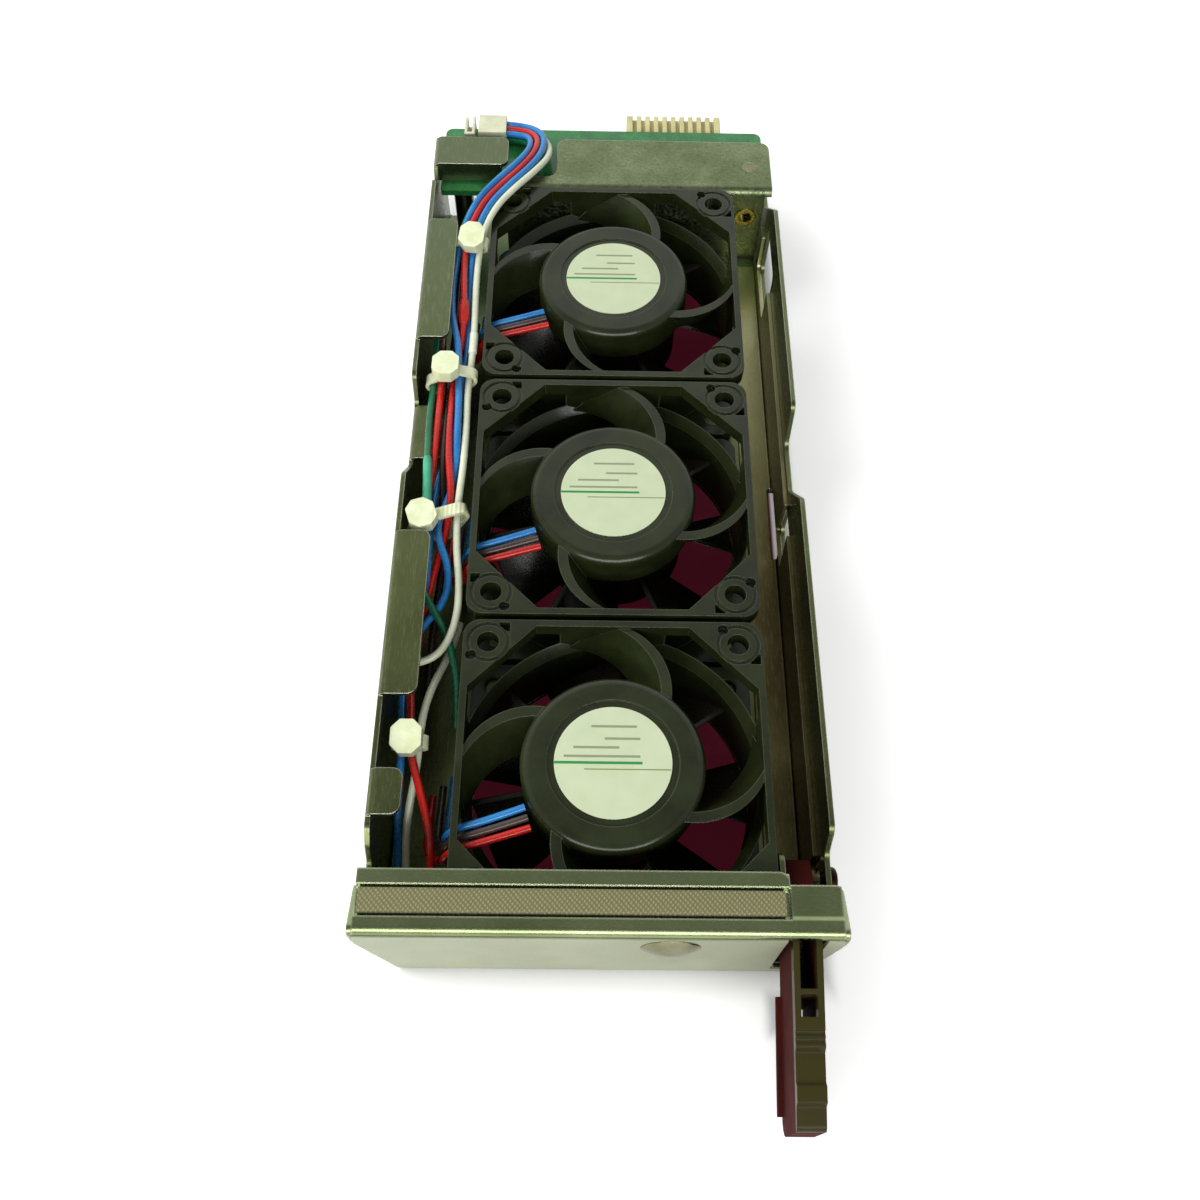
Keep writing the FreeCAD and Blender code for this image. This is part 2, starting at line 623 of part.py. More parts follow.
def make_panel_trim():
    """Overlay on the face, gasket in its channel, domed stud and side screws."""
    y0 = panel_face_y
    edge = overlay_edge
    top_x = panel_side - edge
    left, right = -panel_side + face_taper_left + edge, panel_side - face_taper_right - edge
    plate = plate_xz([(left, edge), (right, edge), (top_x, face_taper_z), (top_x, tray_height - 1.5),
                      (-top_x, tray_height - 1.5), (-top_x, face_taper_z)], [1.0, 1.0, 3.0, 1.0, 1.0, 3.0],
                     y0 - overlay_thick, y0)
    cuts = [plate_xz(rectangle(slot_left_x - 0.2, slot_right_x + 0.2, slot_low_z - 0.2, tray_height + 1),
                     0.5, y0 - 2, y0 + 1),
            rod(stud_x, y0 - 2, stud_z, stud_shank_r + 0.2, 4, (0, 1, 0))]
    node("front_overlay", plate.cut(cuts))
    yc0 = y0 + channel_front + 0.4 + gasket_clear
    yc1 = y0 + channel_front + channel_width - 0.4 - gasket_clear
    z0 = tray_height - channel_drop
    node("emi_gasket", plate_yz(rectangle(yc0, yc1, z0, z0 + gasket_height), [0, 0, 0.5, 0.5],
                                gasket_left_x, gasket_right_x))
    face = y0 - overlay_thick
    chord = stud_r
    ball = (chord ** 2 + stud_height ** 2) / (2 * stud_height)
    dome = Part.makeSphere(ball, V(stud_x, face - stud_height + ball, stud_z))
    dome = dome.common(box(stud_x - 8, stud_x + 8, face - stud_height - 1, face, stud_z - 8, stud_z + 8))
    shank = rod(stud_x, face - 0.2, stud_z, stud_shank_r, panel_sheet + overlay_thick + 0.2 + 0.8, (0, 1, 0))
    node("panel_stud", union([dome, shank]))
    screws = []
    for side in (-1, 1):
        x_face = side * panel_side
        ball = side_screw_head_r * 1.25
        head = Part.makeSphere(ball, V(x_face + side * (side_screw_head - ball), side_screw_y, side_screw_z))
        keep = box(min(x_face, x_face + side * 4), max(x_face, x_face + side * 4), side_screw_y - 6,
                   side_screw_y + 6, side_screw_z - 6, side_screw_z + 6)
        length = panel_side - half + sheet + 1.0
        shank = rod(x_face, side_screw_y, side_screw_z, side_screw_r, length, (-side, 0, 0))
        screws.append(union([head.common(keep), shank]))
    node("panel_screws", screws)


# ---------------------------------------------------------------- latch lever
def lever_top(y):
    """Height of the lever's top face at a place in front of the panel."""
    return lever_top_at_face + (y - panel_face_y) * math.tan(math.radians(lever_top_slope))


def lever_low(y):
    """Height of the lever's underside at a place in front of the panel."""
    return lever_low_at_face + (y - panel_face_y) * math.tan(math.radians(lever_low_slope))


def lever_outline():
    """Side view of the lever with the finger steps on its top, and its corner radii."""
    y0 = panel_face_y
    tip = lever_tip_y
    top = lever_top
    points = [
        (pivot_y + ear_r, pivot_z - 2.6), (pivot_y + ear_r, pivot_z + 2.6),
        (pivot_y - 4.5, lever_top_at_face - 2.2), (y0 + 1.4, lever_top_at_face),
        (y0, lever_top_at_face), (tip + 13.0, top(tip + 13.0)), (tip + 12.3, top(tip + 12.3) - 1.0),
        (tip + 7.6, top(tip + 7.6) - 1.0), (tip + 7.0, top(tip + 7.0) - 0.2),
        (tip + 4.4, top(tip + 4.4) - 0.2), (tip + 3.8, top(tip + 3.8) - 1.3), (tip, top(tip) - 1.6),
        (tip, lever_low(tip) + 0.4), (y0, lever_low_at_face),
        (y0 + 4.0, lever_low_at_face + 0.8), (pivot_y - 1.0, pivot_z - 4.2),
    ]
    radii = [2.0, 2.0, 1.5, 1.0, 1.5, 0.3, 0.3, 0.3, 0.3, 0.3, 0.3, 1.2, 2.5, 3.0, 3.0, 1.0]
    return points, radii


def make_lever():
    """Plastic latch lever with an open trough, finger steps and a rib along its lower left edge."""
    x0, x1 = lever_left_x, lever_right_x
    y0 = panel_face_y
    points, radii = lever_outline()
    body = plate_yz(points, radii, x0, x1)
    wy1 = y0 - lever_window_back
    wy0 = wy1 - lever_window
    floor = [(y, lever_low(y) + lever_bridge) for y in (wy1 + 0.9, y0, pivot_y - 7.0)]
    trough = plate_yz(floor + [(pivot_y - 7.0, tray_height + 2), (wy1 + 0.9, tray_height + 2)], 0,
                      x0 + lever_wall, x1 - lever_wall)
    window = box(x0 + lever_wall, x1 - lever_wall, wy0, wy1, -2, tray_height + 2)
    grooves = []
    for y in (lever_tip_y + 15.2, lever_tip_y + 14.0):
        grooves.append(rod(x0 - 1, y, lever_top(y) + 0.2, 0.55, lever_width + 2, (1, 0, 0)))
    hole = rod(x0 - 1, pivot_y, pivot_z, pivot_r + pivot_clear, lever_width + 2, (1, 0, 0))
    body = body.cut([trough, window, hole] + grooves)
    ry0, ry1 = lever_tip_y + 3.4, y0 - 6.6
    rib = plate_yz([(ry0, lever_low(ry0) + 0.4), (ry1, lever_low(ry1) + 0.4), (ry1, lever_low(ry1) + 1.6),
                    (ry0, lever_low(ry0) + 2.2)], [0.3, 0.3, 0.3, 0.9], x0 - lever_rib, x0 + 0.5)
    node("latch_lever", union([body, rib]))


def rivet_places():
    """Places of the two rivets across the tongue."""
    y = panel_face_y - lever_window_back + 4.4
    return [(lever_mid_x - rivet_pitch / 2, y), (lever_mid_x + rivet_pitch / 2, y)]


def make_tongue():
    """Steel tongue lying in the lever's trough with its rear end turned up, and its two rivets."""
    x0 = lever_left_x + lever_wall + tongue_clear
    x1 = lever_right_x - lever_wall - tongue_clear
    ya = panel_face_y - lever_window_back + 1.6
    yb = pivot_y - 7.4

    def under(y):
        return lever_low(y) + lever_bridge

    t = tongue_thick
    outline = [(ya, under(ya)), (panel_face_y, under(panel_face_y)), (yb, under(yb)), (yb, under(yb) + 9.0),
               (yb - t, under(yb) + 9.0), (yb - t, under(yb - t) + t), (panel_face_y, under(panel_face_y) + t),
               (ya, under(ya) + t)]
    plate = plate_yz(outline, [0, 0, 0.2, 0.4, 0.4, 0, 0, 0], x0, x1)
    rivets = [rod(x, y, under(y), rivet_r, t + 0.6) for x, y in rivet_places()]
    node("lever_tongue", plate.cut([rod(x, y, 0, rivet_r, 40) for x, y in rivet_places()]))
    below = plate_yz([(ya, 0.0), (yb, 0.0), (yb, under(yb)), (ya, under(ya))], 0, x0, x1)
    node("lever_rivets", [rivet.cut(below) for rivet in rivets])


def make_pivot():
    """Pivot pin with its head outside the right wall, and the sheet bracket that carries its inner end."""
    ex1 = lever_left_x - ear_gap
    ex0 = ex1 - ear_thick
    start = ex0 - 0.6
    pin = union([
        rod(start, pivot_y, pivot_z, pivot_r, half - start, (1, 0, 0)),
        rod(half, pivot_y, pivot_z, pivot_head_r, pivot_head, (1, 0, 0)),
    ])
    edge = [e for e in pin.Edges if abs(e.CenterOfMass.x - half - pivot_head) < 1e-6]
    node("pivot_pin", pin.makeFillet(0.9, edge))
    ear = plate_yz([(pivot_y - ear_r, floor_top), (pivot_y + ear_r, floor_top),
                    (pivot_y + ear_r, ear_top), (pivot_y - ear_r, ear_top)], [0, 0, 2.0, 2.0], ex0, ex1)
    ear = ear.cut(rod(ex0 - 1, pivot_y, pivot_z, pivot_r, ear_thick + 2, (1, 0, 0)))
    foot = box(ex0, lever_right_x, pivot_y - ear_r, pivot_y + ear_r, floor_top, floor_top + ear_thick)
    node("lever_bracket", union([ear, foot]))


def make_lever_spring():
    """Torsion spring between the lever and the wall: a coil round the pin, one leg up, one on the floor."""
    x0 = lever_right_x + spring_gap
    coil = rod(x0, pivot_y, pivot_z, spring_r, spring_width, (1, 0, 0))
    coil = coil.cut(rod(x0 - 1, pivot_y, pivot_z, spring_r - 2 * spring_wire_r, spring_width + 2, (1, 0, 0)))
    y = pivot_y + spring_r - spring_wire_r
    leg_r = spring_wire_r * 0.85
    up = rod(x0 + spring_width - spring_wire_r, y, pivot_z, leg_r, ear_top - pivot_z)
    down = rod(x0 + spring_wire_r, y, floor_top, leg_r, pivot_z - floor_top)
    node("lever_spring", union([coil, up, down]))


# ---------------------------------------------------------------- fans
def arc_edge(a, b, c, z):
    """Arc through three plan points at a height."""
    return Part.Arc(V(a[0], a[1], z), V(b[0], b[1], z), V(c[0], c[1], z)).toShape()


def vane_wire(first, z):
    """Thin crescent outline of one stator vane at a height."""
    r0 = hub_r - 0.8
    r1 = fan_bore_r + 1.0
    rm = (r0 + r1) / 2 + 0.6
    t0 = vane_wall / r0 * 57.3
    t1 = vane_wall / r1 * 57.3
    outer = [polar(r0, first), polar(rm, first + vane_sweep * 0.42), polar(r1, first + vane_sweep)]
    inner = [polar(r1, first + vane_sweep + t1 * 1.6), polar(rm - 0.9, first + vane_sweep * 0.42 + t0),
             polar(r0, first + t0 * 1.6)]
    lines = [
        arc_edge(outer[0], outer[1], outer[2], z),
        Part.LineSegment(V(*outer[2], z), V(*inner[0], z)).toShape(),
        arc_edge(inner[0], inner[1], inner[2], z),
        Part.LineSegment(V(*inner[2], z), V(*outer[0], z)).toShape(),
    ]
    return Part.Wire(lines)


def fan_vane(first):
    """One curved, leaning stator vane from the motor base to the duct wall."""
    top = vane_wire(first, fan_height - 0.8)
    low = vane_wire(first + vane_lean, fan_height - 0.8 - vane_depth)
    return Part.makeLoft([top, low], True, True)


def fan_frame_shape():
    """Square frame with its duct, end flanges, corner holes, motor base and vanes, in fan coordinates."""
    side = fan_size / 2
    outer = plate_xy(rectangle(-side, side, -side, side), fan_corner_r, 0, fan_height)
    inside = side - fan_side_wall
    straight = rod(0, 0, -1, fan_bore_r, fan_height + 2)
    mouth_low = fan_height - fan_mouth_depth
    slant = box(-fan_mouth_corner / 2 ** 0.5, fan_mouth_corner / 2 ** 0.5,
                -fan_mouth_corner / 2 ** 0.5, fan_mouth_corner / 2 ** 0.5, 0, fan_height + 1)
    slant.rotate(V(0, 0, 0), V(0, 0, 1), 45)
    eight = box(-inside, inside, -inside, inside, 0, fan_height + 1).common(slant)
    mouth = eight.common(box(-side, side, -side, side, mouth_low, fan_height + 1))
    cone = Part.makeCone(fan_bore_r, fan_bore_r + fan_mouth_cone, fan_mouth_cone,
                         V(0, 0, mouth_low - fan_mouth_cone)).common(eight)
    waist = box(-side - 1, side + 1, -side - 1, side + 1, fan_flange, fan_height - fan_flange)
    waist = waist.cut(rod(0, 0, 0, side + 0.6, fan_height))
    body = outer.cut([straight, mouth, cone, waist])
    motor = rod(0, 0, fan_height - hub_skirt, hub_r, hub_skirt)
    motor = motor.makeFillet(hub_edge_r, [e for e in motor.Edges if abs(e.CenterOfMass.z - fan_height) < 1e-6
                                          and e.Length > hub_r])
    motor = motor.cut(rod(0, 0, fan_height - hub_skirt - 1, hub_r - hub_wall, hub_skirt - hub_plate + 1))
    tube_low = rotor_bottom + stator_low - 1.0
    tube_r = bearing_r + tube_wall
    plate_low = fan_height - hub_plate
    tube = rod(0, 0, tube_low, tube_r, plate_low - tube_low + 0.5)
    bits = [body, motor, tube]
    for i in range(vane_count):
        bits.append(fan_vane(vane_first + i * 360.0 / vane_count))
    board_at = rotor_bottom + rotor_height + motor_board_gap + motor_board_thick
    for i in range(3):
        px, py = polar(10.5, 30 + i * 120)
        bits.append(rod(px, py, board_at, motor_post_r, plate_low - board_at + 0.5))
    shape = union(bits)
    shape = shape.common(outer)
    cuts = [rod(0, 0, tube_low - 1, bearing_r, plate_low - tube_low + 1),
            rod(0, 0, fan_height - label_recess, label_recess_r, label_recess + 1)]
    ring = rod(0, 0, fan_height - 0.5, 4.4, 1).cut(rod(0, 0, fan_height - 1, 3.7, 2))
    pin = rod(-2.9, 3.3, fan_height - 1.6, 1.1, 2)
    pocket = plate_xy([(1.9, -4.3), (4.4, -4.3), (4.4, -1.6)], 0.3, fan_height - 2.4, fan_height + 1)
    for i in range(4):
        for cut in (rod(0, 0, -1, fan_hole_r, fan_height + 2), ring, pin, pocket):
            one = cut.copy()
            one.translate(V(fan_hole_pitch / 2, fan_hole_pitch / 2, 0))
            one.rotate(V(0, 0, 0), V(0, 0, 1), -90 * i)
            cuts.append(one)
    notch_front = -12.2 - 2 * lead_pitch - lead_r - 1.0
    notch_top = fan_height - lead_drop + lead_r + 0.5
    cuts.append(box(-side - 1, -fan_bore_r + 3.0, notch_front, -9.6, notch_top - 3.4, notch_top))
    return shape.cut(cuts)


def rotor_shape():
    """Impeller: cup with twisted blades and a centre boss for the shaft."""
    z0 = rotor_bottom
    cup = rod(0, 0, z0, rotor_hub_r, rotor_height)
    cup = cup.cut(rod(0, 0, z0 + rotor_wall, rotor_hub_r - rotor_wall, rotor_height))
    boss = rod(0, 0, z0, 3.2, stator_low - 1.6)
    blades = []
    low = z0 + blade_low
    high = low + blade_height
    tip_plane = math.sqrt(blade_tip_r ** 2 - blade_reach_tip ** 2)
    root_plane = rotor_hub_r - rotor_wall + 0.1
    for i in range(blade_count):
        wires = []
        for plane, reach, rise in ((root_plane, blade_reach_root, 0.0), (tip_plane, blade_reach_tip, 1.2)):
            t = blade_thick / 2
            quad = [V(plane, reach, low), V(plane, reach - 2 * t, low), V(plane, -reach, high - rise),
                    V(plane, -reach + 2 * t, high - rise)]
            wires.append(Part.makePolygon(quad + [quad[0]]))
        blade = Part.makeLoft(wires, True, True)
        blade.rotate(V(0, 0, 0), V(0, 0, 1), i * 360.0 / blade_count)
        blades.append(blade)
    shape = union([cup, boss] + blades)
    return shape.cut(rod(0, 0, z0 - 1, shaft_r, rotor_height))


def stator_shape():
    """Slotted lamination stack with its windings, pressed on the bearing tube."""
    z0 = rotor_bottom + stator_low
    outer = rotor_hub_r - rotor_wall - magnet_thick - magnet_gap
    ring = rod(0, 0, z0, outer, stator_height)
    cuts = [rod(0, 0, z0 - 1, bearing_r + tube_wall, stator_height + 2)]
    for i in range(stator_slots):
        slot = box(outer - 2.4, outer + 1, -0.6, 0.6, z0 - 1, z0 + stator_height + 1)
        slot.rotate(V(0, 0, 0), V(0, 0, 1), i * 360.0 / stator_slots)
        cuts.append(slot)
    groove = rod(0, 0, z0 + stator_height / 2 - 0.8, outer + 1, 1.6).cut(
        rod(0, 0, z0, outer - 0.6, stator_height))
    cuts.append(groove)
    return ring.cut(cuts)


def tube_path(points, r):
    """Round tube along straight runs joined by tangent arcs. Returns the solid and its path length."""
    pts = [V(*p) for p in points]
    edges = []
    start = pts[0]
    radii = []
    for i in range(1, len(pts) - 1):
        a, p, b = pts[i - 1], pts[i], pts[i + 1]
        ua = (a - p).normalize()
        ub = (b - p).normalize()
        inner = math.acos(max(-1.0, min(1.0, ua.dot(ub))))
        turn = math.pi - inner
        back = 0.45 * min((a - p).Length, (b - p).Length)
        radius = back / math.tan(turn / 2.0)
        radii.append(radius)
        s = p + ua * back
        e = p + ub * back
        centre_dir = (ua + ub).normalize()
        centre = p + centre_dir * (radius / math.cos(turn / 2.0))
        mid = centre - centre_dir * radius
        edges.append(Part.LineSegment(start, s).toShape())
        edges.append(Part.Arc(s, mid, e).toShape())
        start = e
    edges.append(Part.LineSegment(start, pts[-1]).toShape())
    path = Part.Wire(edges)
    direction = (pts[1] - pts[0]).normalize()
    ring = Part.Wire([Part.Circle(pts[0], direction, r).toShape()])
    solid = path.makePipeShell([ring], True, False)
    expected = math.pi * r * r * path.Length
    print("tube %.1f mm, smallest radius %.1f, volume %.4f of expected" %
          (path.Length, min(radii), solid.Volume / expected))
    return solid


def fan_leads():
    """Three leads from the motor base through the notch in the frame and back along the channel."""
    z = fan_height - lead_drop
    side = -fan_size / 2
    leads = []
    for k in range(3):
        step = lead_pitch * k
        lane_x = side - 2.3 - lead_pitch * k
        points = [
            (-16.6 + 0.6 * k, -8.0 - step, z), (-23.2, -10.6 - step, z + 0.2),
            (side + 0.6, -12.2 - step, z - 0.3), (side - 1.7, -12.9 - step, z - 3.4),
            (side - 1.9, -12.6 - step, z - 8.0), (lane_x + 0.1, -9.8 - step, z - 12.2),
            (lane_x, -4.2 - step, z - 14.4), (lane_x + 0.3, 3.0 - step, z - 14.9),
        ]
        leads.append(tube_path(points, lead_r))
    skirt = rod(0, 0, 0, hub_r, fan_height)
    return [lead.cut(skirt) for lead in leads]


def make_fans():
    """Three identical fans in a row, each a set of separate nodes."""
    frame = fan_frame_shape()
    rotor = rotor_shape()
    stator = stator_shape()
    tube_low = rotor_bottom + stator_low - 1.0
    bearings = []
    for z in (tube_low + 0.6, fan_height - hub_plate - bearing_width):
        bearings.append(rod(0, 0, z, bearing_r, bearing_width).cut(
            rod(0, 0, z - 1, shaft_r + bearing_clear, bearing_width + 2)))
    shaft = rod(0, 0, rotor_bottom, shaft_r, fan_height - hub_plate - shaft_top_gap - rotor_bottom)
    m_out = rotor_hub_r - rotor_wall
    magnet = rod(0, 0, rotor_bottom + rotor_wall, m_out, rotor_height - rotor_wall - 0.6).cut(
        rod(0, 0, 0, m_out - magnet_thick, fan_height))
    board_z = rotor_bottom + rotor_height + motor_board_gap
    motor_board = rod(0, 0, board_z, hub_r - hub_wall - 0.4, motor_board_thick).cut(
        rod(0, 0, 0, bearing_r + tube_wall, fan_height))
    label = rod(0, 0, fan_height - label_recess, label_r, label_thick)
    leads = fan_leads()
    pieces = [("frame", frame), ("rotor", rotor), ("stator", stator), ("bearings", bearings),
              ("shaft", shaft), ("magnet", magnet), ("motor_board", motor_board), ("label", label),
              ("leads", leads)]
    for i, fan_y in enumerate(fan_ys):
        for part_name, shape in pieces:
            copies = []
            for one in (shape if isinstance(shape, list) else [shape]):
                one = one.copy()
                one.translate(V(fan_x, fan_y, floor_top))
                copies.append(one)
            node("fan_%d_%s" % (i + 1, part_name), copies)


# ---------------------------------------------------------------- harness
# Centre line of the ribbon of wires from the header, over the rear strip, down to the first tie.
ribbon = [
    (-27.2, 112.8, 24.0), (-21.0, 112.3, 24.1), (-17.0, 108.6, 25.2), (-16.6, 102.2, 26.3),
    (-19.6, 95.6, 26.9), (-24.4, 89.4, 27.0), (-28.8, 82.8, 26.9), (-31.6, 75.6, 25.7),
    (-32.6, 68.6, 24.3),
]
# Each wire: its node, its place beside and above that centre line, then its own way along the channel.
# A wire without a place in the ribbon comes up from a fan's leads in the channel.
P = wire_pitch
harness = [
    ("wires_blue", [(-P, P), (-P, P), (-P, P), (-2.3, P), (-2.6, P), (-2.6, P), (-2.6, P), (-2.6, 1.0),
        (-2.6, 0.6)], [
        (-35.9, 60.0, 24.7), (-35.6, 52.5, 24.9), (-34.8, 46.5, 25.4), (-33.3, 40.5, 25.5),
        (-32.8, 33.0, 25.3), (-32.2, 24.5, 25.4), (-31.95, 16.5, 25.3), (-31.9, 10.0, 23.7),
        (-32.4, 3.5, 21.7), (-34.0, -2.0, 21.4), (-35.0, -7.2, 22.9), (-34.2, -11.9, 23.4),
        (-32.3, -16.2, 22.0), (-31.9, -21.0, 20.2), (-33.6, -25.4, 19.0), (-36.6, -28.8, 18.4),
        (-39.0, -33.6, 18.2), (-39.9, -40.0, 18.4), (-39.5, -47.0, 19.2), (-38.9, -53.6, 20.2),
        (-38.7, -60.0, 19.4), (-39.0, -66.0, 16.6), (-39.2, -71.5, 12.6),
    ]),
    ("wires_blue", [(P, P), (P, P), (P, P), (1.1, P), (0.9, P), (0.9, P), (0.9, P), (0.9, 1.6),
        (0.9, 1.2)], [
        (-31.9, 60.0, 23.7), (-31.7, 51.0, 22.9), (-31.4, 42.0, 22.3), (-31.9, 33.0, 22.6),
        (-32.4, 24.0, 22.2), (-33.0, 15.0, 21.6), (-36.0, 6.5, 20.0), (-36.6, -1.0, 20.9),
        (-36.6, -7.6, 21.5), (-36.4, -13.6, 22.5), (-36.6, -20.0, 20.5), (-38.2, -26.4, 18.6),
        (-40.2, -33.0, 17.0), (-41.0, -40.0, 14.8), (-40.9, -47.0, 11.5),
    ]),
    ("wire_green", [(-P, 0.0), (-P, 0.0), (-P, 0.0), (-2.6, 0.0), (-3.4, 0.0), (-3.6, 0.0),
        (-3.6, -0.2), (-3.5, -0.7), (-3.4, -1.2)], [
        (-37.6, 60.0, 22.8), (-38.4, 50.5, 22.4), (-38.8, 41.0, 22.2), (-38.6, 31.5, 22.4),
        (-38.8, 21.5, 23.0), (-38.4, 11.5, 23.8), (-37.7, 2.0, 24.0), (-37.3, -7.0, 23.6),
        (-38.4, -14.5, 23.6), (-38.0, -20.6, 22.2), (-35.4, -25.8, 21.2), (-32.4, -29.8, 18.8),
        (-30.4, -35.2, 16.0), (-29.5, -41.6, 12.6), (-29.7, -48.0, 9.0),
    ]),
    ("wire_red", [(0.0, P), (0.0, P), (0.0, P), (-0.6, P), (-0.9, 1.5), (-0.9, 1.5), (-0.9, 1.6),
        (-0.9, 1.7), (-0.9, 1.7)], [
        (-33.2, 60.0, 25.7), (-32.6, 51.5, 25.3), (-32.8, 44.0, 23.6), (-33.6, 36.5, 22.8),
        (-34.0, 29.5, 23.3), (-33.9, 22.0, 24.1), (-33.8, 15.0, 24.4), (-33.5, 8.0, 24.2),
        (-32.5, 1.5, 23.7), (-32.7, -5.0, 22.1), (-34.1, -12.0, 20.5), (-35.9, -19.5, 19.0),
        (-37.2, -27.5, 16.4), (-38.2, -35.5, 16.2), (-38.2, -43.0, 18.9), (-37.3, -50.0, 21.0),
        (-37.0, -57.4, 21.4), (-34.6, -65.0, 20.2), (-32.5, -71.8, 18.8), (-31.7, -78.0, 16.4),
        (-31.8, -83.0, 12.6),
    ]),
    ("wire_red", [], [
        (-39.2, 61.0, 10.4), (-38.9, 54.0, 14.6), (-38.0, 47.0, 18.6), (-37.2, 39.5, 21.6),
        (-36.7, 31.0, 23.0), (-36.7, 22.5, 23.4), (-36.8, 14.0, 23.2), (-37.2, 5.5, 22.3),
        (-38.5, -2.5, 21.6), (-39.3, -9.6, 20.6), (-40.1, -16.4, 19.6), (-40.6, -23.5, 18.0),
        (-40.9, -30.6, 15.0),
    ]),
    ("wire_black", [(0.0, 0.0), (0.0, 0.0), (0.0, 0.0), (-0.8, 0.0), (-1.6, -0.1), (-1.8, -0.1),
        (-1.8, -0.1), (-1.6, -0.5), (-1.5, -0.9)], [
        (-34.5, 60.0, 23.2), (-34.4, 51.0, 22.6), (-35.0, 42.0, 21.6), (-35.4, 33.0, 21.2),
        (-35.3, 23.5, 21.9), (-35.1, 14.0, 22.7), (-34.8, 5.0, 22.2), (-34.5, -3.0, 18.9),
        (-34.0, -9.6, 18.0), (-34.2, -16.0, 16.6), (-34.9, -22.8, 15.2), (-35.4, -30.6, 14.0),
        (-35.6, -38.5, 12.6), (-36.0, -46.0, 11.0),
    ]),
    ("wire_white", [(P, 0.0), (P, 0.0), (2.3, -0.1), (3.1, 1.0), (2.8, P), (2.7, P), (2.7, P),
        (2.6, P), (2.6, 1.8)], [
        (-30.3, 59.5, 25.5), (-30.0, 49.0, 25.0), (-29.9, 38.5, 24.8), (-30.5, 28.0, 24.6),
        (-30.2, 18.0, 24.3), (-30.2, 8.0, 24.1), (-30.9, -3.0, 23.7), (-30.6, -13.0, 23.0),
        (-29.4, -21.6, 22.2), (-29.6, -29.4, 21.6), (-31.6, -35.6, 21.2), (-35.2, -38.6, 20.6),
        (-38.6, -38.4, 19.6),
    ]),
    ("wire_white", [], [
        (-30.4, -24.0, 9.0), (-31.0, -30.5, 12.4), (-32.2, -36.6, 15.6), (-33.8, -42.6, 18.4),
        (-35.0, -49.0, 20.2), (-35.3, -55.6, 20.4), (-35.7, -62.0, 18.6), (-37.0, -68.0, 15.6),
        (-37.6, -73.5, 11.6),
    ]),
]


def beside(points, places):
    """Line beside a centre line: places give how far right, looking to the rear, and how far up."""
    out = []
    n = len(points)
    for i, p in enumerate(points):
        a = points[max(i - 1, 0)]
        b = points[min(i + 1, n - 1)]
        before = (p[0] - a[0], p[1] - a[1]) if i > 0 else (b[0] - p[0], b[1] - p[1])
        after = (b[0] - p[0], b[1] - p[1]) if i < n - 1 else before
        la = math.hypot(*before)
        lb = math.hypot(*after)
        nx = -(before[1] / la + after[1] / lb)
        ny = before[0] / la + after[0] / lb
        size = math.hypot(nx, ny)
        nx, ny = nx / size, ny / size
        cosine = nx * (-before[1] / la) + ny * (before[0] / la)
        side, rise = places[i]
        out.append((p[0] + nx * side / cosine, p[1] + ny * side / cosine, p[2] + rise))
    return out


def wire_routes():
    """Node and route points of every wire."""
    return [(name, (beside(ribbon, places) if places else []) + tail) for name, places, tail in harness]


def make_wires():
    """The wires of the harness, one node for each colour."""
    colours = {}
    for name, route in wire_routes():
        colours.setdefault(name, []).append(tube_path(route, wire_r))
    for name, tubes in colours.items():
        node(name, tubes)


def crossings(centre, across):
    """Points and headings where the wires of the channel cross a plane through a point."""
    found = []
    for _, route in wire_routes():
        for a, b in zip(route, route[1:]):
            a, b = V(*a), V(*b)
            da = (a - centre).dot(across)
            db = (b - centre).dot(across)
            if da * db <= 0 and da != db and max(a.x, b.x) < -28.0 and abs(a.y - centre.y) < 20:
                found.append((a + (b - a) * (da / (da - db)), (a - b).normalize()))
    return found


def hull(points):
    """Corner points of the smallest convex outline round 2-D points."""
    points = sorted(points)
    sides = []
    for row in (points, points[::-1]):
        chain = []
        for p in row:
            while len(chain) > 1 and ((chain[-1][0] - chain[-2][0]) * (p[1] - chain[-2][1])
                                      - (chain[-1][1] - chain[-2][1]) * (p[0] - chain[-2][0])) <= 0:
                chain.pop()
            chain.append(p)
        sides += chain[:-1]
    return sides


def tie_shape(y, head_left, twist):
    """Cable tie round the wires at a place: a band that follows their outline and a head on top."""
    first = crossings(V(-34.0, y, 22.0), V(0, 1, 0))
    centre = sum((p for p, _ in first), V(0, 0, 0)) * (1.0 / len(first))
    along = sum((d for _, d in first), V(0, 0, 0)).normalize()
    along = FreeCAD.Rotation(V(0, 0, 1), twist).multVec(along)
    right = along.cross(V(0, 0, 1)).normalize()
    up = right.cross(along)
    centre = V(centre.x, y, centre.z)
    flat = [((p - centre).dot(right), (p - centre).dot(up)) for p, _ in crossings(centre, along)]
    room = wire_r + tie_clear + abs(math.tan(math.radians(twist))) * tie_width / 2.0
    corners = [V(u, -tie_width / 2.0, w) for u, w in hull(flat)]
    middle = Part.makePolygon(corners + corners[:1])
    outer = Part.Face(middle.makeOffset2D(room + tie_band)).extrude(V(0, tie_width, 0))
    inner = Part.Face(middle.makeOffset2D(room)).extrude(V(0, tie_width, 0))
    low = max(w for _, w in flat) + room + tie_band * 0.3
    hw, hl = tie_head_w / 2.0, tie_head_l / 2.0
    c = tie_head_corner
    plan = [(-hw + c, -hl), (hw - c, -hl), (hw, -hl + c), (hw, hl - c), (hw - c, hl), (-hw + c, hl),
            (-hw, hl - c), (-hw, -hl + c)]
    head = plate_xy([(u - head_left, v) for u, v in plan], 0.5, low, low + tie_head_h)
    tie = union([outer.cut(inner), head])
    turned = FreeCAD.Rotation(right, along, up, "ZXY")
    tie.Placement = FreeCAD.Placement(centre, turned).multiply(tie.Placement)
    return tie


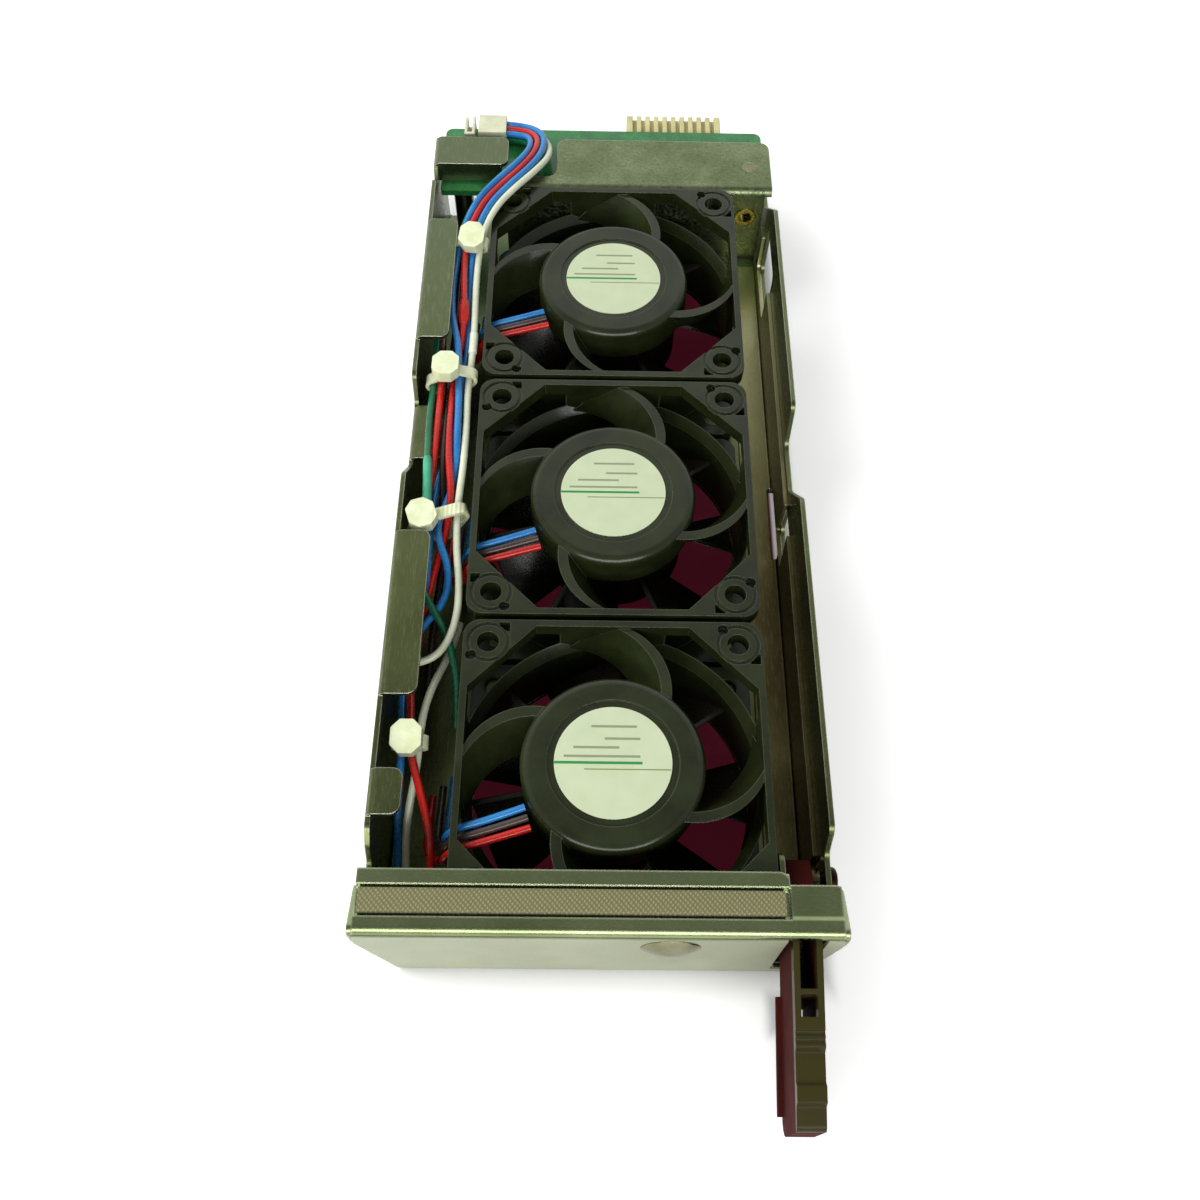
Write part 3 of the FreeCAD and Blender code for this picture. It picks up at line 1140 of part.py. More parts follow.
def make_ties():
    """The cable ties along the channel."""
    node("cable_ties", [tie_shape(y, head_left, twist) for y, head_left, twist in tie_places])


def export_nodes():
    """One STEP file for each node."""
    os.makedirs("parts", exist_ok=True)
    for name, shape in NODES:
        shape.exportStep("parts/" + name + ".step")
        print("%-22s solids %2d  volume %9.1f" % (name, len(shape.Solids), shape.Volume))


make_tray()
make_side_rail()
make_rear_bracket()
make_rear_fasteners()
make_board()
make_panel()
make_panel_trim()
make_lever()
make_tongue()
make_pivot()
make_lever_spring()
make_fans()
make_wires()
make_ties()
export_nodes()
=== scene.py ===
"""Dressed scene of a server fan module: finishes, harness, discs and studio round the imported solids."""

import logging
import math
from dataclasses import dataclass, field
from enum import Enum
from typing import Any, Optional, Sequence

import bpy
import numpy as np
from mathutils import Matrix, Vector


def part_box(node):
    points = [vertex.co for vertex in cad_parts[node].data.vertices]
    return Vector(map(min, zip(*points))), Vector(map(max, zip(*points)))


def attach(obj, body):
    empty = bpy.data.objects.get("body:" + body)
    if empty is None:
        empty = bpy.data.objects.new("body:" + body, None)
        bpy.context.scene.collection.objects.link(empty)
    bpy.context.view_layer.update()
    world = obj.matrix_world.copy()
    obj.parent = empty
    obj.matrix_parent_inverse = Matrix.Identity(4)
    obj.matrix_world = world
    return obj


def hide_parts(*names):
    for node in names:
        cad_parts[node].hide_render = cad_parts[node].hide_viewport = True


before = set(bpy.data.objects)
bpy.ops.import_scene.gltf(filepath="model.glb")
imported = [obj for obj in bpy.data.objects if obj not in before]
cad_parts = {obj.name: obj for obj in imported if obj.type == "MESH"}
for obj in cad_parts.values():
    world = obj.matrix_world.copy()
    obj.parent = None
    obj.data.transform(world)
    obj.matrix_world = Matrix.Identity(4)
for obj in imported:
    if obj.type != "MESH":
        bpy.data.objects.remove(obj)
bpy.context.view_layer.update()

logging.basicConfig(level=logging.INFO, format="%(message)s")
LOG = logging.getLogger("fan_module")

MM = 0.001
WAVE = 0.314  # scale of a wave texture times the spacing of its crests
FIRST, SECOND, MIXED = 6, 7, 2  # places of a Mix node's two colour inputs and of its colour output
PLAIN_WHITE = (1.0, 1.0, 1.0, 1.0)
Vec3 = tuple[float, float, float]
Rgba = tuple[float, float, float, float]
Zone = tuple[float, float, float, float, float]


class Body(Enum):
    """Rigid bodies of the module."""

    MODULE = "module"
    LEVER = "lever"
    IMPELLER_1 = "fan_1_impeller"
    IMPELLER_2 = "fan_2_impeller"
    IMPELLER_3 = "fan_3_impeller"


# ---- colour and nodes
def linear(hex_colour: str) -> Rgba:
    """Turn an sRGB hex colour into linear RGBA.

    Args:
        hex_colour: Six hex digits.

    Returns:
        Linear red, green, blue and an alpha of 1.
    """
    parts = [int(hex_colour[i : i + 2], 16) / 255.0 for i in (0, 2, 4)]
    return tuple(c / 12.92 if c <= 0.04045 else ((c + 0.055) / 1.055) ** 2.4 for c in parts) + (1.0,)


def add_node(tree: Any, kind: str, links: Optional[dict] = None, **settings: Any) -> Any:
    """Add one shader node with its settings, socket values and links.

    Args:
        tree: Node tree that gets the node.
        kind: Blender's node type name after its ShaderNode.
        links: Input name or index to an output socket or a value.
        settings: Attributes of the node.

    Returns:
        The new node.
    """
    node = tree.nodes.new("ShaderNode" + kind)
    for key, value in settings.items():
        setattr(node, key, value)
    for key, value in (links or {}).items():
        if isinstance(value, bpy.types.NodeSocket):
            tree.links.new(value, node.inputs[key])
        else:
            node.inputs[key].default_value = value
    return node


def new_material(name: str) -> tuple[Any, Any, Any]:
    """Start a node material.

    Args:
        name: Name of the finish.

    Returns:
        The material, its node tree and its Principled shader.
    """
    material = bpy.data.materials.new(name)
    material.use_nodes = True
    tree = material.node_tree
    return material, tree, tree.nodes["Principled BSDF"]


class Edge(Enum):
    """How the edges of a finish look: left as they are, softened, or softened and painted bright as a
    highlight.
    """

    SHARP = 0
    SOFT = 1
    PAINTED_HIGHLIGHT = 2


@dataclass(frozen=True)
class Finish:
    """A surface finish worked out from colour, gloss, mottling, grain, wear lines and painted light:
    highlights along the edges and a painted reflection towards the rear.

    Attributes:
        name: Maker's name of the finish.
        colour: sRGB hex of the surface.
        second: sRGB hex that the mottling drifts to.
        rough: Roughness.
        metallic: 1 for bare metal.
        mottle_mm: Size of the colour drift.
        grain_mm: Size of the fine grain.
        stretch: How much finer the grain is along X, Y and Z.
        bump: Depth of the grain in millimetres.
        rough_vary: How much roughness follows the grain.
        coat: Strength of a clear coat.
        gloss: Specular level of a non-metal.
        edge: How its edges look.
        highlight_and_line_colour: sRGB hex of the painted edge highlight and of the crests of the fine lines.
        edge_mm: Width of the edge's softening.
        scratch: Strength of fine rolling and handling lines, 0 to 1.
        painted_rear_light: sRGB hex that the surface is painted towards the rear, a painted reflection of the
            bright rear of the room; empty for none.
    """

    name: str
    colour: str
    second: str
    rough: float = 0.5
    metallic: float = 0.0
    mottle_mm: float = 12.0
    grain_mm: float = 0.6
    stretch: Vec3 = (1.0, 1.0, 1.0)
    bump: float = 0.02
    rough_vary: float = 0.12
    coat: float = 0.0
    gloss: float = 0.5
    edge: Edge = Edge.SHARP
    highlight_and_line_colour: str = "e8ead8"
    edge_mm: float = 0.35
    scratch: float = 0.0
    painted_rear_light: str = ""

    def surface(self, tree: Any, place: Any) -> Any:
        """Colour of the surface: large noise drifts it from the first colour to the second, and where a rear
        tone is given a painted reflection shifts it to that tone from the middle backwards.

        Args:
            tree: Node tree.
            place: Object coordinates.

        Returns:
            Colour output.
        """
        drift = add_node(tree, "TexNoise", {
            "Vector": place, "Scale": 1.0 / (self.mottle_mm * MM), "Detail": 4.0, "Roughness": 0.6})
        spread = add_node(tree, "MapRange", {
            "Value": drift.outputs["Fac"], "From Min": 0.35, "From Max": 0.65})
        colour = add_node(tree, "Mix", {
            "Factor": spread.outputs["Result"], FIRST: linear(self.colour), SECOND: linear(self.second)},
            data_type="RGBA").outputs[MIXED]
        if not self.painted_rear_light:
            return colour
        # painted reflection: from the middle backwards the colour is painted towards a rear tone, standing in
        # for the bright rear of the room that the metal mirrors
        axes = add_node(tree, "SeparateXYZ", {"Vector": place})
        rear = add_node(tree, "MapRange", {"Value": axes.outputs["Y"], "From Min": 0.0, "From Max": 0.075})
        return add_node(tree, "Mix", {
            "Factor": rear.outputs["Result"], FIRST: colour, SECOND: linear(self.painted_rear_light)},
            data_type="RGBA").outputs[MIXED]

    def edge_highlight(self, tree: Any, colour: Any, soft: Any, grain: Any) -> Any:
        """Painted highlight along the edges: brighter where the softened normal leaves the true one, broken
        up by the grain.

        Args:
            tree: Node tree.
            colour: Colour so far.
            soft: Bevel node.
            grain: Grain's value.

        Returns:
            Colour output.
        """
        facing = add_node(tree, "NewGeometry")
        same = add_node(tree, "VectorMath", {
            0: soft.outputs["Normal"], 1: facing.outputs["Normal"]}, operation="DOT_PRODUCT")
        painted_highlight = add_node(tree, "MapRange", {
            "Value": same.outputs["Value"], "From Min": 0.985, "From Max": 0.86})
        patchy = add_node(tree, "MapRange", {
            "Value": grain, "From Min": 0.3, "From Max": 0.6, "To Min": 0.7})
        amount = add_node(tree, "Math", {
            0: painted_highlight.outputs["Result"], 1: patchy.outputs["Result"]}, operation="MULTIPLY")
        return add_node(tree, "Mix", {
            "Factor": amount.outputs[0], FIRST: colour, SECOND: linear(self.highlight_and_line_colour)},
            data_type="RGBA").outputs[MIXED]

    def scratched(self, tree: Any, place: Any, colour: Any) -> Any:
        """Fine lines: noise drawn out along the grain, of which only the crests lighten the colour.

        Args:
            tree: Node tree.
            place: Object coordinates.
            colour: Colour so far.

        Returns:
            Colour output.
        """
        drawn = add_node(tree, "Mapping", {"Vector": place, "Scale": self.stretch})
        lines = add_node(tree, "TexNoise", {
            "Vector": drawn.outputs["Vector"], "Scale": 0.25 / (self.grain_mm * MM), "Detail": 5.0,
            "Roughness": 0.75})
        crest = add_node(tree, "MapRange", {
            "Value": lines.outputs["Fac"], "From Min": 0.52, "From Max": 0.72, "To Max": self.scratch})
        return add_node(tree, "Mix", {
            "Factor": crest.outputs["Result"], FIRST: colour, SECOND: linear(self.highlight_and_line_colour)},
            data_type="RGBA").outputs[MIXED]

    def build(self) -> Any:
        """Make the material.

        Returns:
            The finished material.
        """
        material, tree, shader = new_material(self.name)
        place = add_node(tree, "TexCoord").outputs["Object"]
        colour = self.surface(tree, place)
        drawn = add_node(tree, "Mapping", {"Vector": place, "Scale": self.stretch})
        grain = add_node(tree, "TexNoise", {
            "Vector": drawn.outputs["Vector"], "Scale": 1.0 / (self.grain_mm * MM), "Detail": 3.0})
        rough = add_node(tree, "MapRange", {
            "Value": grain.outputs["Fac"], "From Min": 0.3, "From Max": 0.7,
            "To Min": max(0.03, self.rough - self.rough_vary),
            "To Max": min(1.0, self.rough + self.rough_vary)})
        tree.links.new(rough.outputs["Result"], shader.inputs["Roughness"])
        bump = add_node(tree, "Bump", {
            "Height": grain.outputs["Fac"], "Strength": 0.6, "Distance": self.bump * MM})
        tree.links.new(bump.outputs["Normal"], shader.inputs["Normal"])
        if self.scratch:
            colour = self.scratched(tree, place, colour)
        if self.edge is not Edge.SHARP:
            soft = add_node(tree, "Bevel", {"Radius": self.edge_mm * MM}, samples=4)
            tree.links.new(soft.outputs["Normal"], bump.inputs["Normal"])
            # painted highlight: rounded edges are painted bright where light would catch them
            if self.edge is Edge.PAINTED_HIGHLIGHT:
                colour = self.edge_highlight(tree, colour, soft, grain.outputs["Fac"])
        tree.links.new(colour, shader.inputs["Base Color"])
        shader.inputs["Metallic"].default_value = self.metallic
        if self.coat:
            shader.inputs["Coat Weight"].default_value = self.coat
            shader.inputs["Coat Roughness"].default_value = 0.08
        if not self.metallic:
            shader.inputs["Specular IOR Level"].default_value = self.gloss
        return material


@dataclass(frozen=True)
class Insulation(Finish):
    """PVC extruded over a strand: one strong colour that hardly drifts, with a gloss line along the wire."""

    rough: float = 0.26
    mottle_mm: float = 10.0
    grain_mm: float = 0.8
    bump: float = 0.004
    coat: float = 0.3


@dataclass(frozen=True)
class LeverPlastic(Finish):
    """Dark maroon moulded plastic whose sloping top is painted olive: a painted reflection of the greenish
    light from above.

    Attributes:
        top: sRGB hex of the top, a painted olive reflection.
        top_z: Height of the top where it passes the face, in millimetres.
        face_y: Place of the face, in millimetres.
        slope: Degrees that the top falls towards the tip.
    """

    top: str = "38341a"
    top_z: float = 26.3
    face_y: float = -94.4
    slope: float = 15.0

    def surface(self, tree: Any, place: Any) -> Any:
        """Colour by height above a plane that slopes with the top: the painted olive reflection above it, the
        noise of the body below it.

        Args:
            tree: Node tree.
            place: Object coordinates.

        Returns:
            Colour output.
        """
        body = super().surface(tree, place)
        level = add_node(tree, "Mapping", {"Vector": place, "Location": (0.0, 0.0, -self.top_z * MM)})
        axes = add_node(tree, "SeparateXYZ", {"Vector": level.outputs["Vector"]})
        fall = add_node(tree, "Math", {0: axes.outputs["Y"], 1: -self.face_y * MM}, operation="ADD")
        along = add_node(tree, "Math", {
            0: fall.outputs[0], 1: -math.tan(math.radians(self.slope))}, operation="MULTIPLY")
        above = add_node(tree, "Math", {0: axes.outputs["Z"], 1: along.outputs[0]}, operation="ADD")
        # painted reflection: the top is painted olive; the same mask also gives the top its lower roughness
        mask = add_node(tree, "MapRange", {
            "Value": above.outputs[0], "From Min": -2.9 * MM, "From Max": -2.1 * MM}, name="top_reflection_and_polish_mask")
        return add_node(tree, "Mix", {
            "Factor": mask.outputs["Result"], FIRST: body, SECOND: linear(self.top)},
            data_type="RGBA").outputs[MIXED]

    def build(self) -> Any:
        """Make the sides matte from the mould's spark texture and leave the top polished by hands.

        Returns:
            The finished material.
        """
        material = super().build()
        tree = material.node_tree
        polish = add_node(tree, "MapRange", {
            "Value": tree.nodes["top_reflection_and_polish_mask"].outputs["Result"], "To Min": 0.75, "To Max": 0.16})
        tree.links.new(polish.outputs["Result"], tree.nodes["Principled BSDF"].inputs["Roughness"])
        return material


@dataclass(frozen=True)
class TieNylon(Finish):
    """Natural nylon 6/6, milky with light passing a millimetre into it, with the strap's cross ribs.

    Attributes:
        rib_mm: Spacing of the ribs.
        strap_x: Only the strap to the right of this X, in millimetres, shows them.
        strap_y: Place of that strap along the channel.
    """

    rib_mm: float = 0.9
    strap_x: float = -35.4
    strap_y: float = -6.5

    def build(self) -> Any:
        """Add light scattering and ribs, a sine along X, to the plain finish.

        Returns:
            The finished material.
        """
        material = super().build()
        tree = material.node_tree
        shader = tree.nodes["Principled BSDF"]
        shader.inputs["Subsurface Weight"].default_value = 0.25
        shader.inputs["Subsurface Radius"].default_value = (1.0, 0.95, 0.7)
        shader.inputs["Subsurface Scale"].default_value = 0.0012
        place = add_node(tree, "TexCoord").outputs["Object"]
        ribs = add_node(tree, "TexWave", {
            "Vector": place, "Scale": WAVE / (self.rib_mm * MM)}, bands_direction="X")
        axes = add_node(tree, "SeparateXYZ", {"Vector": place})
        right = add_node(tree, "Math", {
            0: axes.outputs["X"], 1: self.strap_x * MM}, operation="GREATER_THAN")
        near = add_node(tree, "Math", {
            0: axes.outputs["Y"], 1: self.strap_y * MM, 2: 6.0 * MM}, operation="COMPARE")
        strap = add_node(tree, "Math", {0: right.outputs[0], 1: near.outputs[0]}, operation="MULTIPLY")
        height = add_node(tree, "Math", {0: ribs.outputs["Fac"], 1: strap.outputs[0]}, operation="MULTIPLY")
        bump = add_node(tree, "Bump", {"Height": height.outputs[0], "Strength": 0.6, "Distance": 0.15 * MM})
        tree.links.new(bump.outputs["Normal"], shader.inputs["Normal"])
        return material


@dataclass(frozen=True)
class WovenGasket:
    """Conductive fabric gasket: nickel-copper plated yarn in a diagonal weave, dull olive-beige.

    Attributes:
        name: Maker's name of the finish.
        light: sRGB hex of the raised yarn.
        dark: sRGB hex between the yarns.
        pitch_mm: Spacing of the yarns, a little coarser than the real one so that it shows.
    """

    name: str = "conductive_fabric_gasket"
    light: str = "98956a"
    dark: str = "6d6b46"
    pitch_mm: float = 0.6

    def build(self) -> Any:
        """Make the weave from two crossing sine waves over Object coordinates.

        Returns:
            The finished material.
        """
        material, tree, shader = new_material(self.name)
        place = add_node(tree, "TexCoord").outputs["Object"]
        wave = WAVE / (self.pitch_mm * MM)
        waves = []
        for degrees, finer, warp in ((38, 1.0, 0.3), (-42, 0.8, 0.5)):
            turned = add_node(tree, "Mapping", {
                "Vector": place, "Rotation": (0.0, 0.0, math.radians(degrees))})
            waves.append(add_node(tree, "TexWave", {
                "Vector": turned.outputs["Vector"], "Scale": wave * finer, "Distortion": warp,
                "Detail": 1.0}).outputs["Fac"])
        both = add_node(tree, "Math", {0: waves[0], 1: waves[1]}, operation="MULTIPLY")
        soft = add_node(tree, "Math", {0: both.outputs[0], 1: 0.6}, operation="POWER")
        yarn = add_node(tree, "Mix", {
            "Factor": soft.outputs[0], FIRST: linear(self.dark), SECOND: linear(self.light)},
            data_type="RGBA")
        tree.links.new(yarn.outputs[MIXED], shader.inputs["Base Color"])
        bump = add_node(tree, "Bump", {"Height": soft.outputs[0], "Strength": 0.7, "Distance": 0.15 * MM})
        tree.links.new(bump.outputs["Normal"], shader.inputs["Normal"])
        shader.inputs["Roughness"].default_value = 0.62
        shader.inputs["Metallic"].default_value = 0.25
        shader.inputs["Sheen Weight"].default_value = 0.3
        return material


@dataclass(frozen=True)
class PrintedDisc:
    """Bare pale film disc with six plain printed rules, each drawn by distance from its middle line.

    Attributes:
        name: Name of the finish.
        centre: Centre of the disc in metres.
        film: sRGB hex of the film.
        green: sRGB hex of the thick rule.
        olive: sRGB hex of the thin rule.
        ink: sRGB hex of the four grey rules.
        cloud: sRGB hex that the film drifts to.
    """

    name: str
    centre: Vec3
    film: str = "cdd8b6"
    green: str = "2f8a45"
    olive: str = "7f8a58"
    ink: str = "8c9478"
    cloud: str = "bccaa4"

    def rule(self, tree: Any, axes: Any, y_mm: float, x0_mm: float, x1_mm: float, wide_mm: float) -> Any:
        """Mask of one straight rule across the disc.

        Args:
            tree: Node tree.
            axes: Separate XYZ node of the centred place.
            y_mm: Height of the rule.
            x0_mm: Left end.
            x1_mm: Right end.
            wide_mm: Thickness.

        Returns:
            Output socket that is 1 on the rule.
        """
        off = add_node(tree, "Math", {0: axes.outputs["Y"], 1: y_mm * MM}, operation="SUBTRACT")
        near = add_node(tree, "Math", {0: off.outputs[0]}, operation="ABSOLUTE")
        in_y = add_node(tree, "Math", {0: near.outputs[0], 1: wide_mm * MM / 2}, operation="LESS_THAN")
        past = add_node(tree, "Math", {0: axes.outputs["X"], 1: x0_mm * MM}, operation="GREATER_THAN")
        short = add_node(tree, "Math", {0: axes.outputs["X"], 1: x1_mm * MM}, operation="LESS_THAN")
        in_x = add_node(tree, "Math", {0: past.outputs[0], 1: short.outputs[0]}, operation="MULTIPLY")
        return add_node(tree, "Math", {
            0: in_y.outputs[0], 1: in_x.outputs[0]}, operation="MULTIPLY").outputs[0]

    def build(self) -> Any:
        """Make the material.

        Returns:
            The finished material.
        """
        material, tree, shader = new_material(self.name)
        place = add_node(tree, "TexCoord").outputs["Object"]
        moved = add_node(tree, "Mapping", {"Vector": place, "Location": tuple(-c for c in self.centre)})
        axes = add_node(tree, "SeparateXYZ", {"Vector": moved.outputs["Vector"]})
        drift = add_node(tree, "TexNoise", {"Vector": place, "Scale": 260.0, "Detail": 3.0})
        colour = add_node(tree, "Mix", {
            "Factor": drift.outputs["Fac"], FIRST: linear(self.film), SECOND: linear(self.cloud)},
            data_type="RGBA").outputs[MIXED]
        # colour, height, left end, right end and thickness in millimetres
        for tone, y, x0, x1, wide in (
                (self.green, -0.2, -11.2, 5.6, 0.55), (self.olive, -1.5, -5.5, 11.0, 0.25),
                (self.ink, 1.1, -9.4, 5.2, 0.5), (self.ink, 2.9, -7.6, 1.2, 0.5),
                (self.ink, 4.7, -1.6, 5.2, 0.5), (self.ink, 7.2, -4.2, 4.6, 0.5)):
            colour = add_node(tree, "Mix", {
                "Factor": self.rule(tree, axes, y, x0, x1, wide), FIRST: colour, SECOND: linear(tone)},
                data_type="RGBA").outputs[MIXED]
        tree.links.new(colour, shader.inputs["Base Color"])
        shader.inputs["Roughness"].default_value = 0.42
        return material


FINISHES: dict[str, Any] = {
    # zinc-plated steel sheet, olive passivate: soft mirror, mill lines along the tray, painted highlights on
    # its cut edges, and a painted reflection that shifts its tone towards the rear
    "tray": Finish("zinc_plated_steel_sheet", "6f784f", "616941", 0.32, 1.0, 16.0, 0.5, (5.0, 0.6, 1.0),
                   0.004, 0.08, edge=Edge.PAINTED_HIGHLIGHT, edge_mm=0.3, scratch=0.15, painted_rear_light="6e795a"),
    # the same sheet in a browner tone, painted paler towards the rear as a painted reflection of the bright
    # rear of the room; painted highlights on its edges
    "rail": Finish("zinc_plated_steel_rail", "857f55", "5f5535", 0.34, 1.0, 30.0, 0.5, (5.0, 0.5, 1.0), 0.004,
                   0.08, edge=Edge.PAINTED_HIGHLIGHT, edge_mm=0.3, scratch=0.15, painted_rear_light="b4b388"),
    # the rear flange kept the mill's pebbled skin under its plating, so it glitters in small spots; a painted
    # highlight runs along its edges
    "flange": Finish("pebbled_zinc_flange", "8a9672", "75815e", 0.4, 1.0, 7.0, 0.75, (1.0, 1.0, 1.0), 0.14,
                     0.18, edge=Edge.PAINTED_HIGHLIGHT, edge_mm=0.35),
    # the front panel was rolled across: a paler, cleaner mirror with faint lines along its width, and a
    # painted highlight along its bend and edges
    "panel": Finish("zinc_plated_panel", "a1ae81", "8b996b", 0.24, 1.0, 22.0, 0.5, (0.5, 5.0, 3.0), 0.004,
                    0.07, edge=Edge.PAINTED_HIGHLIGHT, edge_mm=0.5, scratch=0.08),
    # steel under a black-brown passivate: dark heads with a warm glint
    "dark_screw": Finish("dark_passivated_steel", "3a2418", "241510", 0.32, 1.0, 2.0, 0.3, edge=Edge.SOFT),
    # nickel plate over turned steel: the sharpest mirror of the module
    "bright": Finish("nickel_plated_steel", "9c9c7e", "80805f", 0.14, 1.0, 6.0, 0.4, edge=Edge.SOFT),
    # drawn spring wire, bare: a dull warm grey
    "spring": Finish("spring_steel_wire", "7a7758", "5b583e", 0.28, 1.0, 3.0, 0.3),
    # zinc under a yellow passivate: reads as brass
    "brass": Finish("yellow_passivated_ring", "b5a750", "8f8238", 0.28, 1.0, 2.0, 0.3, edge=Edge.SOFT),
    # polyester film with a matte face: flat olive grey without a mirror
    "overlay": Finish("matte_polyester_overlay", "acb196", "989d81", 0.46, 0.0, 34.0, 0.4, bump=0.008,
                      edge=Edge.SOFT, edge_mm=0.25),
    # solder mask flowed over copper: clear green with a wet skin
    "board": Finish("green_solder_mask", "2f8544", "1f6a33", 0.3, 0.0, 3.0, 0.5, coat=0.4),
    # moulded LCP and moulded nylon: waxy and pale, with soft edges
    "ivory": Finish("ivory_lcp_moulding", "dcd6a0", "c4be88", 0.45, 0.0, 6.0, 0.4, edge=Edge.SOFT),
    "white": Finish("white_nylon_moulding", "dfe2c2", "c9ccab", 0.42, 0.0, 4.0, 0.4, edge=Edge.SOFT),
    # a thin flash of gold over stamped contacts: small warm mirrors
    "gold": Finish("gold_flashed_contact", "c9a648", "a58632", 0.22, 1.0, 2.0, 0.2),
    # nylon left in its own colour: bright and milky
    "nylon": TieNylon("natural_nylon_tie", "eef4d0", "dde5b8", 0.34, 0.0, 3.0, 0.4, coat=0.2),
    # glass-filled PBT out of a polished tool: near black, glossy, with a faint fibre mottle and a painted
    # highlight along its edges
    "fan": Finish("black_glass_filled_pbt", "272e17", "1b200f", 0.2, 0.0, 9.0, 0.5, bump=0.006,
                  rough_vary=0.05, gloss=0.45, edge=Edge.PAINTED_HIGHLIGHT, highlight_and_line_colour="4d573f", edge_mm=0.3),
    # black PBT like the frame, painted blacker as painted shade for the blades down in the ducts; also duller
    # than the frame
    "impeller": Finish("shade_darkened_pbt_impeller", "1c1a12", "12110b", 0.26, 0.0, 14.0, 0.4, bump=0.006, gloss=0.3,
                       edge=Edge.SOFT),
    # moulded with dark maroon through it: matte sides, and a polished top painted olive as a painted
    # reflection of the light from above
    "lever": LeverPlastic("dark_moulded_lever", "4c1814", "3a120f", 0.22, 0.0, 9.0, 0.7, bump=0.003,
                          rough_vary=0.05, gloss=0.1, edge=Edge.SOFT),
    # plated like the tray but darker: a dim mirror with a painted highlight along its edges
    "tongue": Finish("olive_plated_tongue", "5b5838", "454326", 0.26, 1.0, 3.0, 0.4, edge=Edge.PAINTED_HIGHLIGHT),
    # extruded PVC: strong plain colours with a gloss line along each wire
    "blue": Insulation("blue_pvc_insulation", "2a86cc", "1e6fb2"),
    "red": Insulation("red_pvc_insulation", "cc2119", "ab1913"),
    "black": Insulation("black_pvc_insulation", "17120c", "221a12", 0.24),
    "grey": Insulation("grey_pvc_insulation", "4c3f38", "362b26"),
    "white_wire": Insulation("white_pvc_insulation", "e6ebd0", "d2d8ba", 0.3),
    "green": Insulation("green_pvc_insulation", "16704a", "0f5a3a", 0.28, mottle_mm=8.0),
    # polyolefin shrunk over a wire: duller than the wire, with a slightly uneven skin
    "teal_sleeve": Finish("teal_shrink_sleeve", "4fb28c", "3f9c78", 0.4, 0.0, 3.0, 0.6, bump=0.02),
    "red_sleeve": Finish("red_shrink_sleeve", "c5271d", "a51c14", 0.34, 0.0, 3.0, 0.6, bump=0.03),
    "white_sleeve": Finish("white_marker_sleeve", "f2f6e2", "e3e8d0", 0.38, 0.0, 3.0, 0.6, bump=0.01),
    # inside the fans: varnished copper is warm and shiny, ferrite dull grey, ground steel a clean mirror
    "copper": Finish("varnished_copper_winding", "8a4a24", "6b3518", 0.35, 1.0, 2.0, 0.3),
    "ferrite": Finish("bonded_ferrite", "2b2b2b", "383838", 0.6, 0.0, 3.0, 0.3),
    "steel": Finish("ground_steel", "b8b8b4", "a0a09c", 0.2, 1.0, 3.0, 0.3),
    "gasket": WovenGasket(),
}
_MADE: dict[str, Any] = {}


def material_of(key: str) -> Any:
    """Material of a finish, made once."""
    if key not in _MADE:
        _MADE[key] = FINISHES[key].build()
    return _MADE[key]


def dress(node: str, material: Any) -> None:
    """Give every slot of a CAD node the same material.

    Args:
        node: Name of the CAD node.
        material: Its new material.
    """
    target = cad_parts[node]
    if not target.material_slots:
        target.data.materials.append(material)
    for held in target.material_slots:
        held.material = material


# ---- mesh helpers
def mesh_piece(name: str, points: np.ndarray, faces: Sequence[Sequence[int]], material: Any, body: Body,
               smooth: bool = True) -> Any:
    """Make a piece from computed points.

    Args:
        name: Piece name.
        points: N by 3 array in metres.
        faces: Indices of each face.
        material: Its finish.
        body: Body that it rides on.
        smooth: Whether faces are shaded smooth.

    Returns:
        The new object.
    """
    mesh = bpy.data.meshes.new(name)
    mesh.from_pydata([tuple(p) for p in points], [], [tuple(f) for f in faces])
    mesh.update()
    if smooth:
        mesh.polygons.foreach_set("use_smooth", [True] * len(mesh.polygons))
    piece = bpy.data.objects.new(name, mesh)
    bpy.context.scene.collection.objects.link(piece)
    mesh.materials.append(material)
    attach(piece, body.value)
    LOG.info("piece %s: %d faces", name, len(faces))
    return piece


def route_curve(name: str, points: np.ndarray, radius_mm: float) -> Any:
    """Smooth NURBS curve with the route's points as its control points.

    Args:
        name: Curve name.
        points: N by 3 array of control points in millimetres.
        radius_mm: Radius of the round section, 0 for a bare line.

    Returns:
        The new curve data.
    """
    curve = bpy.data.curves.new(name, "CURVE")
    curve.dimensions = "3D"
    curve.bevel_depth = radius_mm * MM
    curve.bevel_resolution = 4
    curve.resolution_u = 8
    curve.use_fill_caps = radius_mm > 0.0
    spline = curve.splines.new("NURBS")
    spline.points.add(len(points) - 1)
    spline.points.foreach_set("co", np.hstack([points * MM, np.ones((len(points), 1))]).ravel())
    spline.order_u = 3
    spline.use_endpoint_u = True
    return curve


def wire_piece(name: str, points: np.ndarray, radius_mm: float, material: Any,
               body: Body = Body.MODULE) -> Any:
    """Make a wire as a smooth NURBS curve through control points.

    Args:
        name: Piece name.
        points: N by 3 array of control points in millimetres.
        radius_mm: Radius of the insulation.
        material: Its finish.
        body: Body that it rides on.

    Returns:
        The new curve object.
    """
    curve = route_curve(name, points, radius_mm)
    piece = bpy.data.objects.new(name, curve)
    bpy.context.scene.collection.objects.link(piece)
    curve.materials.append(material)
    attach(piece, body.value)
    LOG.info("wire %s: %d points", name, len(points))
    return piece


